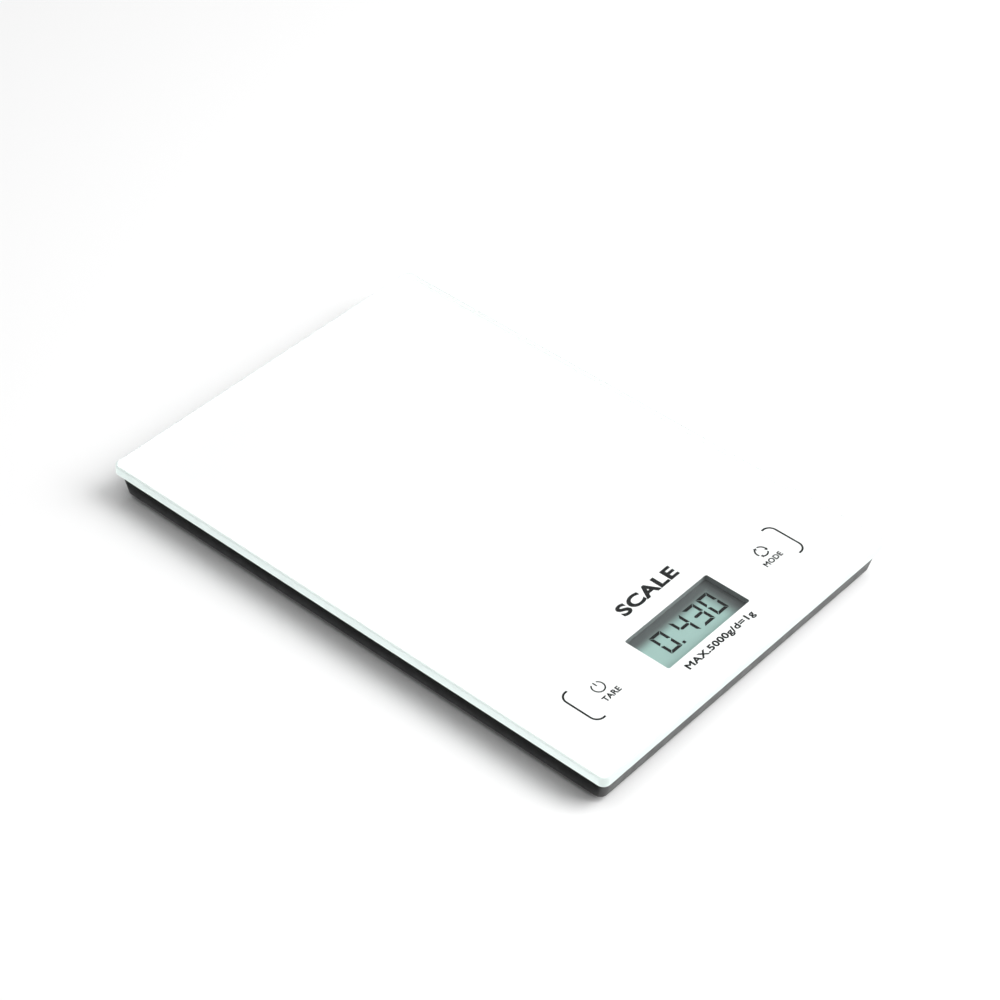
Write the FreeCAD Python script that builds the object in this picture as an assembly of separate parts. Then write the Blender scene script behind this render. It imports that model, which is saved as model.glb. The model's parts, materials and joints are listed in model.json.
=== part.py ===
"""A slim kitchen scale with a glass weighing platform.

The platform is a white-backed glass plate bonded to a shallow black housing. A display looks out
through a window near the front edge, with a touch key on either side of it. The housing stands on
four feet, and each foot presses on a steel bending plate that measures a quarter of the load.

Frame: +X to the reader's right, +Y away from the reader, +Z up. The origin is on the surface that
the scale stands on, under the middle of the platform. All sizes are in millimetres.
"""
import FreeCAD, Part
import math
import os

V = FreeCAD.Vector
UP = V(0, 0, 1)
SIDES = (-1, 1)

# Overall size and the stack of layers from the surface upwards
WIDTH = 160.0                   # short side of the platform, along X
LENGTH = 230.0                  # long side of the platform, along Y
GLASS_TOP = 16.0
GLASS_BOTTOM = 12.0
GLASS_CORNER = 3.0
GLASS_CHAMFER = 0.5
PRINT_THICKNESS = 0.1
PRINT_BOTTOM = GLASS_BOTTOM - PRINT_THICKNESS
TAPE_THICKNESS = 0.4
DECK_TOP = PRINT_BOTTOM - TAPE_THICKNESS
DECK_THICKNESS = 1.5
DECK_BOTTOM = DECK_TOP - DECK_THICKNESS
PARTING = 9.0                   # height of the joint line between carrier and cover
COVER_BOTTOM = 3.0
FLOOR_THICKNESS = 1.4
FLOOR_TOP = COVER_BOTTOM + FLOOR_THICKNESS

# The housing tapers inwards from the glass down to its underside
TOP_INSET = 1.0
BOTTOM_INSET = 3.0
CORNER_CENTRE_INSET = 6.0       # the corner arcs stay concentric, so radius = this - inset
WALL = 1.8
LIP_THICKNESS = 0.7
LIP_HEIGHT = 0.8
LIP_GAP = 0.1
TAPE_WIDTH = 6.0
RIM_WIDTH = 1.5

# Display
WINDOW_WIDTH = 46.0
WINDOW_LENGTH = 19.4
WINDOW_CORNER = 0.8
WINDOW_Y = -87.1
BEZEL_SIZE = (55.0, 29.0)
BEZEL_OPENING = (46.6, 20.0)
BEZEL_TOP = 11.5
BEZEL_FLANGE = (59.0, 33.0)
BEZEL_FLANGE_BOTTOM = 9.4
LCD_TOP = 9.2
LCD_GLASS_THICKNESS = 0.9
LCD_MIDDLE = LCD_TOP - LCD_GLASS_THICKNESS
LCD_BOTTOM = LCD_MIDDLE - LCD_GLASS_THICKNESS
LCD_FRONT_SIZE = (51.0, 25.0)
LCD_REAR_SIZE = (51.0, 20.0)
REFLECTOR_THICKNESS = 0.2
FIT_GAP = 0.2                   # clearance around pieces that drop into a pocket

# Circuit board
BOARD_X = 50.0                  # half width
BOARD_FRONT = -100.0
BOARD_BACK = -71.2
BOARD_BOTTOM = 5.4
BOARD_TOP = 6.2
BOARD_SCREW_X = 38.0
BOARD_SCREW_Y = (-97.0, -75.0)
KEY_X = 46.0
KEY_Y = -84.7
KEY_HOLE_RADIUS = 4.0
SPRING_RADIUS = 2.6
SPRING_WIRE = 0.3
SPRING_PITCH = 1.25
SPRING_CHORDS = 24                # straight chords in each turn of the coil
MITRED_CORNERS = 1
PAD_ROW_Y = -71.8               # solder pads along the board's back edge

# Housing screws
HOUSING_SCREWS = [(x, y) for x in (-71.0, 71.0) for y in (-55.0, 0.0, 55.0)] + [(0.0, -107.0), (0.0, 107.0)]
BOSS_RADIUS = 3.0
BOSS_SPLIT = 6.0                # where the cover's boss meets the carrier's boss
SCREW_HEAD_RADIUS = 2.2
SCREW_HEAD_BOTTOM = 3.5
SCREW_HEAD_TOP = 4.7
SCREW_SHANK_RADIUS = 1.1
SCREW_TIP = 9.4
COUNTERBORE_RADIUS = 2.6

# Feet and load cells
FOOT_X = 63.0
FOOT_Y = 92.0
FOOT_RADIUS = 10.0
FOOT_HOLE_RADIUS = 10.3
FOOT_FLANGE_RADIUS = 11.5
FOOT_FLANGE_BOTTOM = 4.45
FOOT_FLANGE_TOP = 5.35
FOOT_CAP_BOTTOM = 0.9
FOOT_BUTTON_RADIUS = 2.5
PAD_RADIUS = 8.4
PAD_POCKET_RADIUS = 8.5
PAD_TOP = 1.9
PAD_GROOVES = (3.0, 5.6)
PAD_GROOVE_WIDTH = 0.8
PAD_GROOVE_DEPTH = 0.5
WELL_RADIUS = 12.0
WELL_WALL = 0.9
WELL_TOP = 5.1
CELL_BOTTOM = 6.0
CELL_THICKNESS = 1.0
CELL_TOP = CELL_BOTTOM + CELL_THICKNESS
CELL_SIZE = (24.0, 34.0)
CELL_SCREW_OFFSET = 14.0
CELL_BOSS_RADIUS = 2.5
TONGUE_HALF_WIDTH = 4.0
TONGUE_HALF_LENGTH = 8.0
TONGUE_SLOT = 1.6
CELL_SCREW_RADIUS = 1.0
CELL_SCREW_HEAD_RADIUS = 1.8
CELL_SCREW_HEAD = 0.8
GAUGE_SIZE = (5.0, 4.0)
GAUGE_THICKNESS = 0.1
GAUGE_OFFSET = 6.0
LEAD_RADIUS = 0.35
LEAD_SPACING = 1.0
LEAD_HEIGHT = 7.5
LEAD_BEND = 0.9
FRONT_LANE_X = 51.6
FRONT_PAD_X = 48.6
FRONT_PAD_Y = -78.0
REAR_LANE_X = 47.0

# Battery compartment and its door
CELL_BATTERY_RADIUS = 10.0
BATTERY_THICKNESS = 3.2
BATTERY_Y = -46.0
BATTERY_BOTTOM = 5.2
BATTERY_TOP = BATTERY_BOTTOM + BATTERY_THICKNESS
CRADLE_INNER = 10.3
CRADLE_OUTER = 11.6
CRADLE_BOTTOM = 5.0
CRADLE_CEILING = 9.1
CRADLE_TOP = 9.8
COMPARTMENT_WALL = 1.2
CONTACT_HALF_WIDTH = 1.4
CONTACT_FRONT = -63.4
CONTACT_GAP = 0.3
NEGATIVE_LEAF = (8.7, 8.9)      # bottom and top of the leaf above the cell
POSITIVE_LEAF = (6.5, 6.8)      # bottom and top of the leaf that leads away from the cell's rim
DOOR_HALF_WIDTH = 16.7
DOOR_FRONT = -60.7
DOOR_GAP = 0.3
HINGE_Y = -31.0
HINGE_Z = 4.0
HINGE_BARREL_RADIUS = 1.0
HINGE_PIN_RADIUS = 0.6
HINGE_BORE_RADIUS = 0.65
HINGE_HALF_WIDTH = 13.0
HINGE_PIN_LENGTH = 2.0
LATCH_HALF_WIDTH = 4.0
LATCH_LENGTH = 4.0
LATCH_THICKNESS = 0.8
LATCH_GAP = 0.5
DOOR_PAD_RADIUS = 5.0
DOOR_PAD_TOP = 5.1
RIB_X = 36.0
RIB_HALF = 0.6
RIB_HEIGHT = 1.0
RIB_ENDS = (-66.0, 105.0)


def box(x0, x1, y0, y1, z0, z1):
    """Make an upright block from its low and high corners."""
    return Part.makeBox(x1 - x0, y1 - y0, z1 - z0, V(x0, y0, z0))


def disc(x, y, radius, z0, z1):
    """Make an upright cylinder."""
    return Part.makeCylinder(radius, z1 - z0, V(x, y, z0), UP)


def ring(x, y, inner, outer, z0, z1):
    """Make an upright tube."""
    return disc(x, y, outer, z0, z1).cut(disc(x, y, inner, z0, z1))


def outline(half_width, half_length, radius, z, centre=(0.0, 0.0)):
    """Make a closed wire: a rectangle with rounded corners, lying flat at height z."""
    edges = []
    corners = ((1, 1), (-1, 1), (-1, -1), (1, -1))
    ends = []
    for quarter, (sx, sy) in enumerate(corners):
        mid_x = centre[0] + sx * (half_width - radius)
        mid_y = centre[1] + sy * (half_length - radius)
        arc = Part.ArcOfCircle(
            Part.Circle(V(mid_x, mid_y, z), UP, radius),
            quarter * math.pi / 2,
            (quarter + 1) * math.pi / 2,
        )
        edges.append(arc.toShape())
        ends.append((arc.StartPoint, arc.EndPoint))
    for index in range(4):
        edges.append(Part.makeLine(ends[index][1], ends[(index + 1) % 4][0]))
    return Part.Wire(Part.__sortEdges__(edges))


def slab(half_width, half_length, radius, z0, z1, centre=(0.0, 0.0)):
    """Make an upright block with rounded corners."""
    face = Part.Face(outline(half_width, half_length, radius, z0, centre))
    return face.extrude(V(0, 0, z1 - z0))


def housing_inset(z):
    """How far the housing's outside lies inside the glass's edge at height z."""
    share = (PRINT_BOTTOM - z) / (PRINT_BOTTOM - COVER_BOTTOM)
    return TOP_INSET + share * (BOTTOM_INSET - TOP_INSET)


def housing_outline(z, extra):
    """The housing's outline at height z, moved inwards by extra."""
    inset = housing_inset(z) + extra
    radius = max(CORNER_CENTRE_INSET - inset, 0.8)
    return outline(WIDTH / 2 - inset, LENGTH / 2 - inset, radius, z)


def housing_block(z0, z1, extra=0.0):
    """The tapered block between two heights, with its sides moved inwards by extra."""
    return Part.makeLoft([housing_outline(z0, extra), housing_outline(z1, extra)], True, True)


def rounded_route(points, bend):
    """Join points with straight runs and a tangent arc of radius bend at each corner."""
    edges = []
    start = points[0]
    for index in range(1, len(points) - 1):
        corner = points[index]
        before = (corner - points[index - 1]).normalize()
        after = (points[index + 1] - corner).normalize()
        turn = before.getAngle(after)
        trim = bend * math.tan(turn / 2)
        arc_start = corner - before * trim
        arc_end = corner + after * trim
        inward = (after - before).normalize()
        centre = corner + inward * (bend / math.cos(turn / 2))
        arc_middle = centre - inward * bend
        edges.append(Part.makeLine(start, arc_start))
        edges.append(Part.Arc(arc_start, arc_middle, arc_end).toShape())
        start = arc_end
    edges.append(Part.makeLine(start, points[-1]))
    return Part.Wire(edges)


def wire_along(points, radius, bend):
    """Make a round wire that follows a rounded route."""
    route = rounded_route(points, bend)
    direction = points[1] - points[0]
    profile = Part.Wire([Part.Circle(points[0], direction, radius).toShape()])
    return route.makePipeShell([profile], True, False)


def foot_places():
    """Yield the name and centre of each of the four feet."""
    for sy, end in ((-1, "front"), (1, "rear")):
        for sx, side in ((-1, "left"), (1, "right")):
            yield f"{end}_{side}", sx * FOOT_X, sy * FOOT_Y


def glass_platform():
    """The toughened glass plate that carries the load."""
    plate = slab(WIDTH / 2, LENGTH / 2, GLASS_CORNER, GLASS_BOTTOM, GLASS_TOP)
    flat_rims = [e for e in plate.Edges if abs(e.BoundBox.ZMax - e.BoundBox.ZMin) < 0.001]
    return plate.makeChamfer(GLASS_CHAMFER, flat_rims)


def white_print():
    """The fired white enamel on the underside of the glass, open at the display."""
    edge = GLASS_CHAMFER + 0.1
    skin = slab(WIDTH / 2 - edge, LENGTH / 2 - edge, GLASS_CORNER - edge, PRINT_BOTTOM, GLASS_BOTTOM)
    window = slab(WINDOW_WIDTH / 2, WINDOW_LENGTH / 2, WINDOW_CORNER, PRINT_BOTTOM, GLASS_BOTTOM,
                  (0.0, WINDOW_Y))
    return skin.cut(window)


def adhesive_tape():
    """The foam tape frame that bonds the glass to the carrier."""
    inset = TOP_INSET + RIM_WIDTH + 0.2
    radius = CORNER_CENTRE_INSET - inset
    outer = slab(WIDTH / 2 - inset, LENGTH / 2 - inset, radius, DECK_TOP, PRINT_BOTTOM)
    inset += TAPE_WIDTH
    return outer.cut(slab(WIDTH / 2 - inset, LENGTH / 2 - inset, 1.0, DECK_TOP, PRINT_BOTTOM))


def glass_carrier():
    """The upper housing: a deck under the glass, with a rim, a skirt and bosses below."""
    rim = housing_block(DECK_TOP, PRINT_BOTTOM).cut(housing_block(DECK_TOP, PRINT_BOTTOM, RIM_WIDTH))
    skirt_wall = 1.0
    skirt = housing_block(PARTING, DECK_BOTTOM).cut(housing_block(PARTING, DECK_BOTTOM, skirt_wall))
    body = housing_block(DECK_BOTTOM, DECK_TOP).fuse([rim, skirt])
    bosses = [disc(x, y, BOSS_RADIUS, BOSS_SPLIT, DECK_BOTTOM) for x, y in HOUSING_SCREWS]
    cuts = [disc(x, y, SCREW_SHANK_RADIUS, BOSS_SPLIT, SCREW_TIP) for x, y in HOUSING_SCREWS]
    for _, x, y in foot_places():
        for side in SIDES:
            screw_y = y + side * CELL_SCREW_OFFSET
            bosses.append(disc(x, screw_y, CELL_BOSS_RADIUS, CELL_TOP, DECK_BOTTOM))
            cuts.append(disc(x, screw_y, CELL_SCREW_RADIUS, CELL_TOP, SCREW_TIP))
    for x, y in board_screw_places():
        bosses.append(disc(x, y, CELL_BOSS_RADIUS, BOARD_TOP, DECK_BOTTOM))
        cuts.append(disc(x, y, CELL_SCREW_RADIUS, BOARD_TOP, SCREW_TIP))
    for side in SIDES:
        cuts.append(disc(side * KEY_X, KEY_Y, KEY_HOLE_RADIUS, DECK_BOTTOM, DECK_TOP))
    cuts.append(slab(BEZEL_SIZE[0] / 2 + FIT_GAP, BEZEL_SIZE[1] / 2 + FIT_GAP, 1.0,
                     DECK_BOTTOM, DECK_TOP, (0.0, WINDOW_Y)))
    cuts.append(slab(BEZEL_FLANGE[0] / 2 + FIT_GAP, BEZEL_FLANGE[1] / 2 + FIT_GAP, 1.0,
                     DECK_BOTTOM, BEZEL_FLANGE_BOTTOM + 1.0, (0.0, WINDOW_Y)))
    return body.fuse(bosses).cut(cuts).removeSplitter()


def bottom_cover():
    """The lower housing: a tapered tray with foot wells, screw bosses and the battery cradle."""
    shell = housing_block(COVER_BOTTOM, PARTING).cut(housing_block(FLOOR_TOP, PARTING, WALL))
    lip_top = PARTING + LIP_HEIGHT
    lip_out = 1.0 + LIP_GAP
    lip = housing_block(PARTING, lip_top, lip_out).cut(
        housing_block(PARTING, lip_top, lip_out + LIP_THICKNESS))
    adds = [lip]
    cuts = []
    for x, y in HOUSING_SCREWS:
        adds.append(disc(x, y, BOSS_RADIUS + 0.4, FLOOR_TOP, BOSS_SPLIT))
        cuts.append(disc(x, y, COUNTERBORE_RADIUS, COVER_BOTTOM, SCREW_HEAD_TOP))
        cuts.append(disc(x, y, SCREW_SHANK_RADIUS + 0.2, SCREW_HEAD_TOP, BOSS_SPLIT))
    for _, x, y in foot_places():
        adds.append(ring(x, y, WELL_RADIUS, WELL_RADIUS + WELL_WALL, FLOOR_TOP, WELL_TOP))
        cuts.append(disc(x, y, FOOT_HOLE_RADIUS, COVER_BOTTOM, FLOOR_TOP))
    opening_x = DOOR_HALF_WIDTH + DOOR_GAP
    opening_y = (DOOR_FRONT - DOOR_GAP, HINGE_Y + HINGE_BARREL_RADIUS + DOOR_GAP)
    adds.append(box(-opening_x - COMPARTMENT_WALL, opening_x + COMPARTMENT_WALL,
                    opening_y[0] - COMPARTMENT_WALL, opening_y[1] + COMPARTMENT_WALL,
                    FLOOR_TOP, CRADLE_TOP))
    cuts.append(box(-opening_x, opening_x, *opening_y, COVER_BOTTOM, CRADLE_CEILING))
    body = shell.fuse(adds).cut(cuts)
    cradle = ring(0, BATTERY_Y, CRADLE_INNER, CRADLE_OUTER, CRADLE_BOTTOM, CRADLE_CEILING)
    cheeks = [hinge_cheek(side) for side in SIDES]
    ribs = [box(side * RIB_X - RIB_HALF, side * RIB_X + RIB_HALF, *RIB_ENDS, FLOOR_TOP,
                FLOOR_TOP + RIB_HEIGHT) for side in SIDES]
    body = body.fuse([cradle] + cheeks + ribs)
    return body.cut(compartment_cuts(opening_y[0])).removeSplitter()


def hinge_cheek(side):
    """The block beside the door with the blind bore that holds one hinge pin."""
    inner = side * (HINGE_HALF_WIDTH + DOOR_GAP)
    outer = side * (DOOR_HALF_WIDTH + 1.0)
    cheek = box(min(inner, outer), max(inner, outer), HINGE_Y - 1.6, HINGE_Y + 2.0,
                COVER_BOTTOM, HINGE_Z + 2.0)
    bore = Part.makeCylinder(HINGE_BORE_RADIUS, HINGE_PIN_LENGTH, V(inner, HINGE_Y, HINGE_Z),
                             V(side, 0, 0))
    return cheek.cut(bore)


def compartment_cuts(front):
    """The slots for the contacts, the latch's catch and the fingernail scoop at the door's front."""
    half = CONTACT_HALF_WIDTH + CONTACT_GAP
    wall_front = front - COMPARTMENT_WALL
    cradle_slot = box(-half, half, BATTERY_Y - CRADLE_OUTER, BATTERY_Y - CRADLE_INNER + 1.0,
                      CRADLE_BOTTOM, CRADLE_CEILING)
    positive = box(-half, half, wall_front, front, POSITIVE_LEAF[0] - CONTACT_GAP,
                   POSITIVE_LEAF[1] + CONTACT_GAP)
    negative = box(-half, half, wall_front, front, NEGATIVE_LEAF[0] - 0.15, NEGATIVE_LEAF[1] + 0.15)
    catch_half = LATCH_HALF_WIDTH + 0.5
    catch = box(-catch_half, catch_half, wall_front, front, FLOOR_TOP, FLOOR_TOP + 1.1)
    scoop = box(-catch_half, catch_half, front - 4.0, front, COVER_BOTTOM, COVER_BOTTOM + 0.7)
    return [cradle_slot, positive, negative, catch, scoop]


def battery_door():
    """The door in the underside: a plate with a hinge barrel and two round hinge pins."""
    step_y = HINGE_Y - 2.2
    plate = box(-DOOR_HALF_WIDTH, DOOR_HALF_WIDTH, DOOR_FRONT, step_y, COVER_BOTTOM, FLOOR_TOP)
    neck = box(-HINGE_HALF_WIDTH, HINGE_HALF_WIDTH, step_y, HINGE_Y, COVER_BOTTOM, FLOOR_TOP)
    axis = V(1, 0, 0)
    barrel = Part.makeCylinder(HINGE_BARREL_RADIUS, 2 * HINGE_HALF_WIDTH,
                               V(-HINGE_HALF_WIDTH, HINGE_Y, HINGE_Z), axis)
    pin_reach = HINGE_HALF_WIDTH + HINGE_PIN_LENGTH
    pins = Part.makeCylinder(HINGE_PIN_RADIUS, 2 * pin_reach, V(-pin_reach, HINGE_Y, HINGE_Z), axis)
    door = plate.fuse([neck, barrel, pins])
    recess_half = LATCH_HALF_WIDTH + LATCH_GAP
    recess = box(-recess_half, recess_half, DOOR_FRONT, DOOR_FRONT + LATCH_LENGTH,
                 COVER_BOTTOM, FLOOR_TOP)
    grips = [box(-7.0, 7.0, DOOR_FRONT + 5.6 + 1.8 * row, DOOR_FRONT + 6.4 + 1.8 * row,
                 COVER_BOTTOM, COVER_BOTTOM + 0.4) for row in range(4)]
    return door.cut([recess] + grips).removeSplitter()


def door_latch():
    """The springy finger in the door's front edge, whose hook catches above the cover's floor."""
    back = DOOR_FRONT + LATCH_LENGTH
    finger = box(-LATCH_HALF_WIDTH, LATCH_HALF_WIDTH, DOOR_FRONT + 0.2, back,
                 COVER_BOTTOM, COVER_BOTTOM + LATCH_THICKNESS)
    rise = box(-LATCH_HALF_WIDTH, LATCH_HALF_WIDTH, DOOR_FRONT + 0.2, DOOR_FRONT + 1.0,
               COVER_BOTTOM, FLOOR_TOP + 0.8)
    hook = box(-LATCH_HALF_WIDTH, LATCH_HALF_WIDTH, DOOR_FRONT - 1.0, DOOR_FRONT + 1.0,
               FLOOR_TOP + 0.1, FLOOR_TOP + 0.8)
    return finger.fuse([rise, hook]).removeSplitter()


def door_pad():
    """The foam pad inside the door that stops the coin cell from rattling."""
    return disc(0, BATTERY_Y, DOOR_PAD_RADIUS, FLOOR_TOP, DOOR_PAD_TOP)


def lcd_bezel():
    """The dark frame that centres the display under the window."""
    centre = (0.0, WINDOW_Y)
    body = slab(BEZEL_SIZE[0] / 2, BEZEL_SIZE[1] / 2, 1.0, LCD_MIDDLE, BEZEL_TOP, centre)
    flange = slab(BEZEL_FLANGE[0] / 2, BEZEL_FLANGE[1] / 2, 1.0,
                  BEZEL_FLANGE_BOTTOM, BEZEL_FLANGE_BOTTOM + 1.0, centre)
    opening = slab(BEZEL_OPENING[0] / 2, BEZEL_OPENING[1] / 2, 0.8, LCD_TOP, BEZEL_TOP, centre)
    pocket = slab(LCD_FRONT_SIZE[0] / 2 + FIT_GAP, LCD_FRONT_SIZE[1] / 2 + FIT_GAP, 0.4,
                  LCD_MIDDLE, LCD_TOP, centre)
    return body.fuse(flange).cut([opening, pocket]).removeSplitter()


def lcd_gasket():
    """The foam frame between the bezel and the glass."""
    centre = (0.0, WINDOW_Y)
    outer = slab(BEZEL_SIZE[0] / 2 - 0.5, BEZEL_SIZE[1] / 2 - 0.5, 1.0, BEZEL_TOP, PRINT_BOTTOM, centre)
    inner = slab(BEZEL_OPENING[0] / 2 + 0.3, BEZEL_OPENING[1] / 2 + 0.3, 0.8,
                 BEZEL_TOP, PRINT_BOTTOM, centre)
    return outer.cut(inner)


def display_sheet(size, z0, z1):
    """One flat layer of the display, centred under the window."""
    return box(-size[0] / 2, size[0] / 2, WINDOW_Y - size[1] / 2, WINDOW_Y + size[1] / 2, z0, z1)


def zebra_strips():
    """The two elastomer connectors between the board and the display's overhanging edges."""
    offset = (LCD_FRONT_SIZE[1] + LCD_REAR_SIZE[1]) / 4
    width = 2.0
    return [box(-24.0, 24.0, WINDOW_Y + side * offset - width / 2,
                WINDOW_Y + side * offset + width / 2, BOARD_TOP, LCD_MIDDLE) for side in SIDES]


def board_screw_places():
    """Centres of the four screws that hold the circuit board."""
    return [(side * BOARD_SCREW_X, y) for side in SIDES for y in BOARD_SCREW_Y]


def circuit_board():
    """The circuit board under the display and the touch keys."""
    board = box(-BOARD_X, BOARD_X, BOARD_FRONT, BOARD_BACK, BOARD_BOTTOM, BOARD_TOP)
    holes = [disc(x, y, CELL_SCREW_RADIUS + 0.1, BOARD_BOTTOM, BOARD_TOP)
             for x, y in board_screw_places()]
    return board.cut(holes)


def chip(x, y, size, height, leads):
    """A surface-mounted chip: a moulded block with a row of leads along two sides."""
    half = size / 2
    solids = [box(x - half, x + half, y - half, y + half, BOARD_TOP + 0.1, BOARD_TOP + height)]
    pitch = (size - 1.0) / (leads - 1)
    for side in SIDES:
        inner = x + side * half
        outer = inner + side * 1.0
        for index in range(leads):
            mid = y - half + 0.5 + index * pitch
            solids.append(box(min(inner, outer), max(inner, outer), mid - 0.15, mid + 0.15,
                              BOARD_TOP, BOARD_TOP + 0.3))
    return solids


def board_components():
    """The small surface-mounted parts, in two rows on either side of the display."""
    solids = []
    for side in SIDES:
        for column in range(3):
            x = side * (31.5 + 2.6 * column)
            solids.append(box(x - 0.6, x + 0.6, -80.6, -79.0, BOARD_TOP, BOARD_TOP + 0.6))
    solids.append(box(-36.5, -31.5, -95.0, -93.0, BOARD_TOP, BOARD_TOP + 1.4))
    return solids


def touch_spring(x):
    """A coil spring, bent in short chords, that couples a key's pad on the board to the glass."""
    low = BOARD_TOP + SPRING_WIRE
    height = PRINT_BOTTOM - SPRING_WIRE - low
    chords = round(height / SPRING_PITCH * SPRING_CHORDS)
    path = []
    for step in range(chords + 1):
        turn = 2 * math.pi * step / SPRING_CHORDS
        path.append(V(x + SPRING_RADIUS * math.cos(turn), KEY_Y + SPRING_RADIUS * math.sin(turn),
                      low + height * step / chords))
    profile = Part.Wire([Part.Circle(path[0], path[1] - path[0], SPRING_WIRE).toShape()])
    return Part.makePolygon(path).makePipeShell([profile], True, True, MITRED_CORNERS)


def screw(x, y, head, shank, heights):
    """A cross-head screw that points up: head and shank radii, and bottom, shoulder and tip heights."""
    bottom, shoulder, tip = heights
    body = disc(x, y, head, bottom, shoulder).fuse(disc(x, y, shank, shoulder, tip))
    long_side = head * 0.6
    short_side = head * 0.14
    depth = (shoulder - bottom) * 0.6
    recess = [box(x - long_side, x + long_side, y - short_side, y + short_side, bottom, bottom + depth),
              box(x - short_side, x + short_side, y - long_side, y + long_side, bottom, bottom + depth)]
    return body.cut(recess).removeSplitter()


def housing_screws():
    """The screws that clamp the cover to the carrier."""
    heights = (SCREW_HEAD_BOTTOM, SCREW_HEAD_TOP, SCREW_TIP)
    return [screw(x, y, SCREW_HEAD_RADIUS, SCREW_SHANK_RADIUS, heights) for x, y in HOUSING_SCREWS]


def board_screws():
    """The screws that hold the circuit board up against the carrier's bosses."""
    heights = (BOARD_BOTTOM - CELL_SCREW_HEAD, BOARD_BOTTOM, SCREW_TIP)
    return [screw(x, y, CELL_SCREW_HEAD_RADIUS, CELL_SCREW_RADIUS, heights)
            for x, y in board_screw_places()]


def load_cell_screws():
    """The screws that hold both ends of each load cell against the carrier's bosses."""
    heights = (CELL_BOTTOM - CELL_SCREW_HEAD, CELL_BOTTOM, SCREW_TIP)
    return [screw(x, y + side * CELL_SCREW_OFFSET, CELL_SCREW_HEAD_RADIUS, CELL_SCREW_RADIUS, heights)
            for _, x, y in foot_places() for side in SIDES]


def load_cell(x, y):
    """A steel bending plate: a frame held at both ends around a tongue that the foot presses on."""
    plate = slab(CELL_SIZE[0] / 2, CELL_SIZE[1] / 2, 2.0, CELL_BOTTOM, CELL_TOP, (x, y))
    half = TONGUE_HALF_WIDTH
    tip = math.copysign(TONGUE_HALF_LENGTH, y)
    far = tip + math.copysign(TONGUE_SLOT, y)
    low, high = sorted((y - tip, y + far))
    slots = [box(x + side * half - (TONGUE_SLOT if side < 0 else 0),
                 x + side * half + (TONGUE_SLOT if side > 0 else 0), low, high, CELL_BOTTOM, CELL_TOP)
             for side in SIDES]
    low, high = sorted((y + tip, y + far))
    slots.append(box(x - half, x + half, low, high, CELL_BOTTOM, CELL_TOP))
    holes = [disc(x, y + side * CELL_SCREW_OFFSET, CELL_SCREW_RADIUS, CELL_BOTTOM, CELL_TOP)
             for side in SIDES]
    return plate.cut(slots + holes)


def strain_gauge(x, y):
    """The foil gauge bonded to the root of a load cell's tongue."""
    mid = y - math.copysign(GAUGE_OFFSET, y)
    return box(x - GAUGE_SIZE[0] / 2, x + GAUGE_SIZE[0] / 2, mid - GAUGE_SIZE[1] / 2,
               mid + GAUGE_SIZE[1] / 2, CELL_TOP, CELL_TOP + GAUGE_THICKNESS)


def sensor_leads(x, y):
    """The three wires from a strain gauge to the circuit board."""
    side = math.copysign(1, x)
    end = math.copysign(1, y)
    gauge_y = y - end * GAUGE_OFFSET
    wires = []
    for index in range(3):
        step = index * LEAD_SPACING
        lane_y = gauge_y + end * (LEAD_SPACING - step)
        lane_x = side * ((REAR_LANE_X if y > 0 else FRONT_LANE_X) + step)
        route = [V(x - side, lane_y, LEAD_HEIGHT), V(lane_x, lane_y, LEAD_HEIGHT)]
        if y > 0:
            route.append(V(lane_x, PAD_ROW_Y, LEAD_HEIGHT))
        else:
            pad_y = FRONT_PAD_Y + step
            route.append(V(lane_x, pad_y, LEAD_HEIGHT))
            route.append(V(side * FRONT_PAD_X, pad_y, LEAD_HEIGHT))
        route.append(V(route[-1].x, route[-1].y, BOARD_TOP))
        wires.append(wire_along(route, LEAD_RADIUS, LEAD_BEND))
    return wires


def foot_cap(x, y):
    """The stiff cup of a foot: it slides in the cover and its button presses on the load cell."""
    body = disc(x, y, FOOT_RADIUS, FOOT_CAP_BOTTOM, FOOT_FLANGE_BOTTOM)
    flange = disc(x, y, FOOT_FLANGE_RADIUS, FOOT_FLANGE_BOTTOM, FOOT_FLANGE_TOP)
    button = disc(x, y, FOOT_BUTTON_RADIUS, FOOT_FLANGE_TOP, CELL_BOTTOM)
    pocket = disc(x, y, PAD_POCKET_RADIUS, FOOT_CAP_BOTTOM, PAD_TOP)
    return body.fuse([flange, button]).cut(pocket).removeSplitter()


def foot_pad(x, y):
    """The soft pad of a foot, with two ring grooves in its sole."""
    pad = disc(x, y, PAD_RADIUS, 0.0, PAD_TOP)
    grooves = [ring(x, y, radius, radius + PAD_GROOVE_WIDTH, 0.0, PAD_GROOVE_DEPTH)
               for radius in PAD_GROOVES]
    return pad.cut(grooves)


def coin_cell():
    """The coin cell, a can with a smaller raised cap on the side of its negative pole."""
    can = disc(0, BATTERY_Y, CELL_BATTERY_RADIUS, BATTERY_BOTTOM, BATTERY_TOP - 0.4)
    cap = disc(0, BATTERY_Y, CELL_BATTERY_RADIUS - 1.2, BATTERY_TOP - 0.4, BATTERY_TOP)
    return can.fuse(cap).removeSplitter()


def negative_contact():
    """The leaf contact that presses on the top of the coin cell."""
    half = CONTACT_HALF_WIDTH
    leaf = box(-half, half, CONTACT_FRONT, BATTERY_Y + 2.5, *NEGATIVE_LEAF)
    dimple = disc(0, BATTERY_Y, half - 0.2, BATTERY_TOP, NEGATIVE_LEAF[0])
    return leaf.fuse(dimple).removeSplitter()


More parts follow.
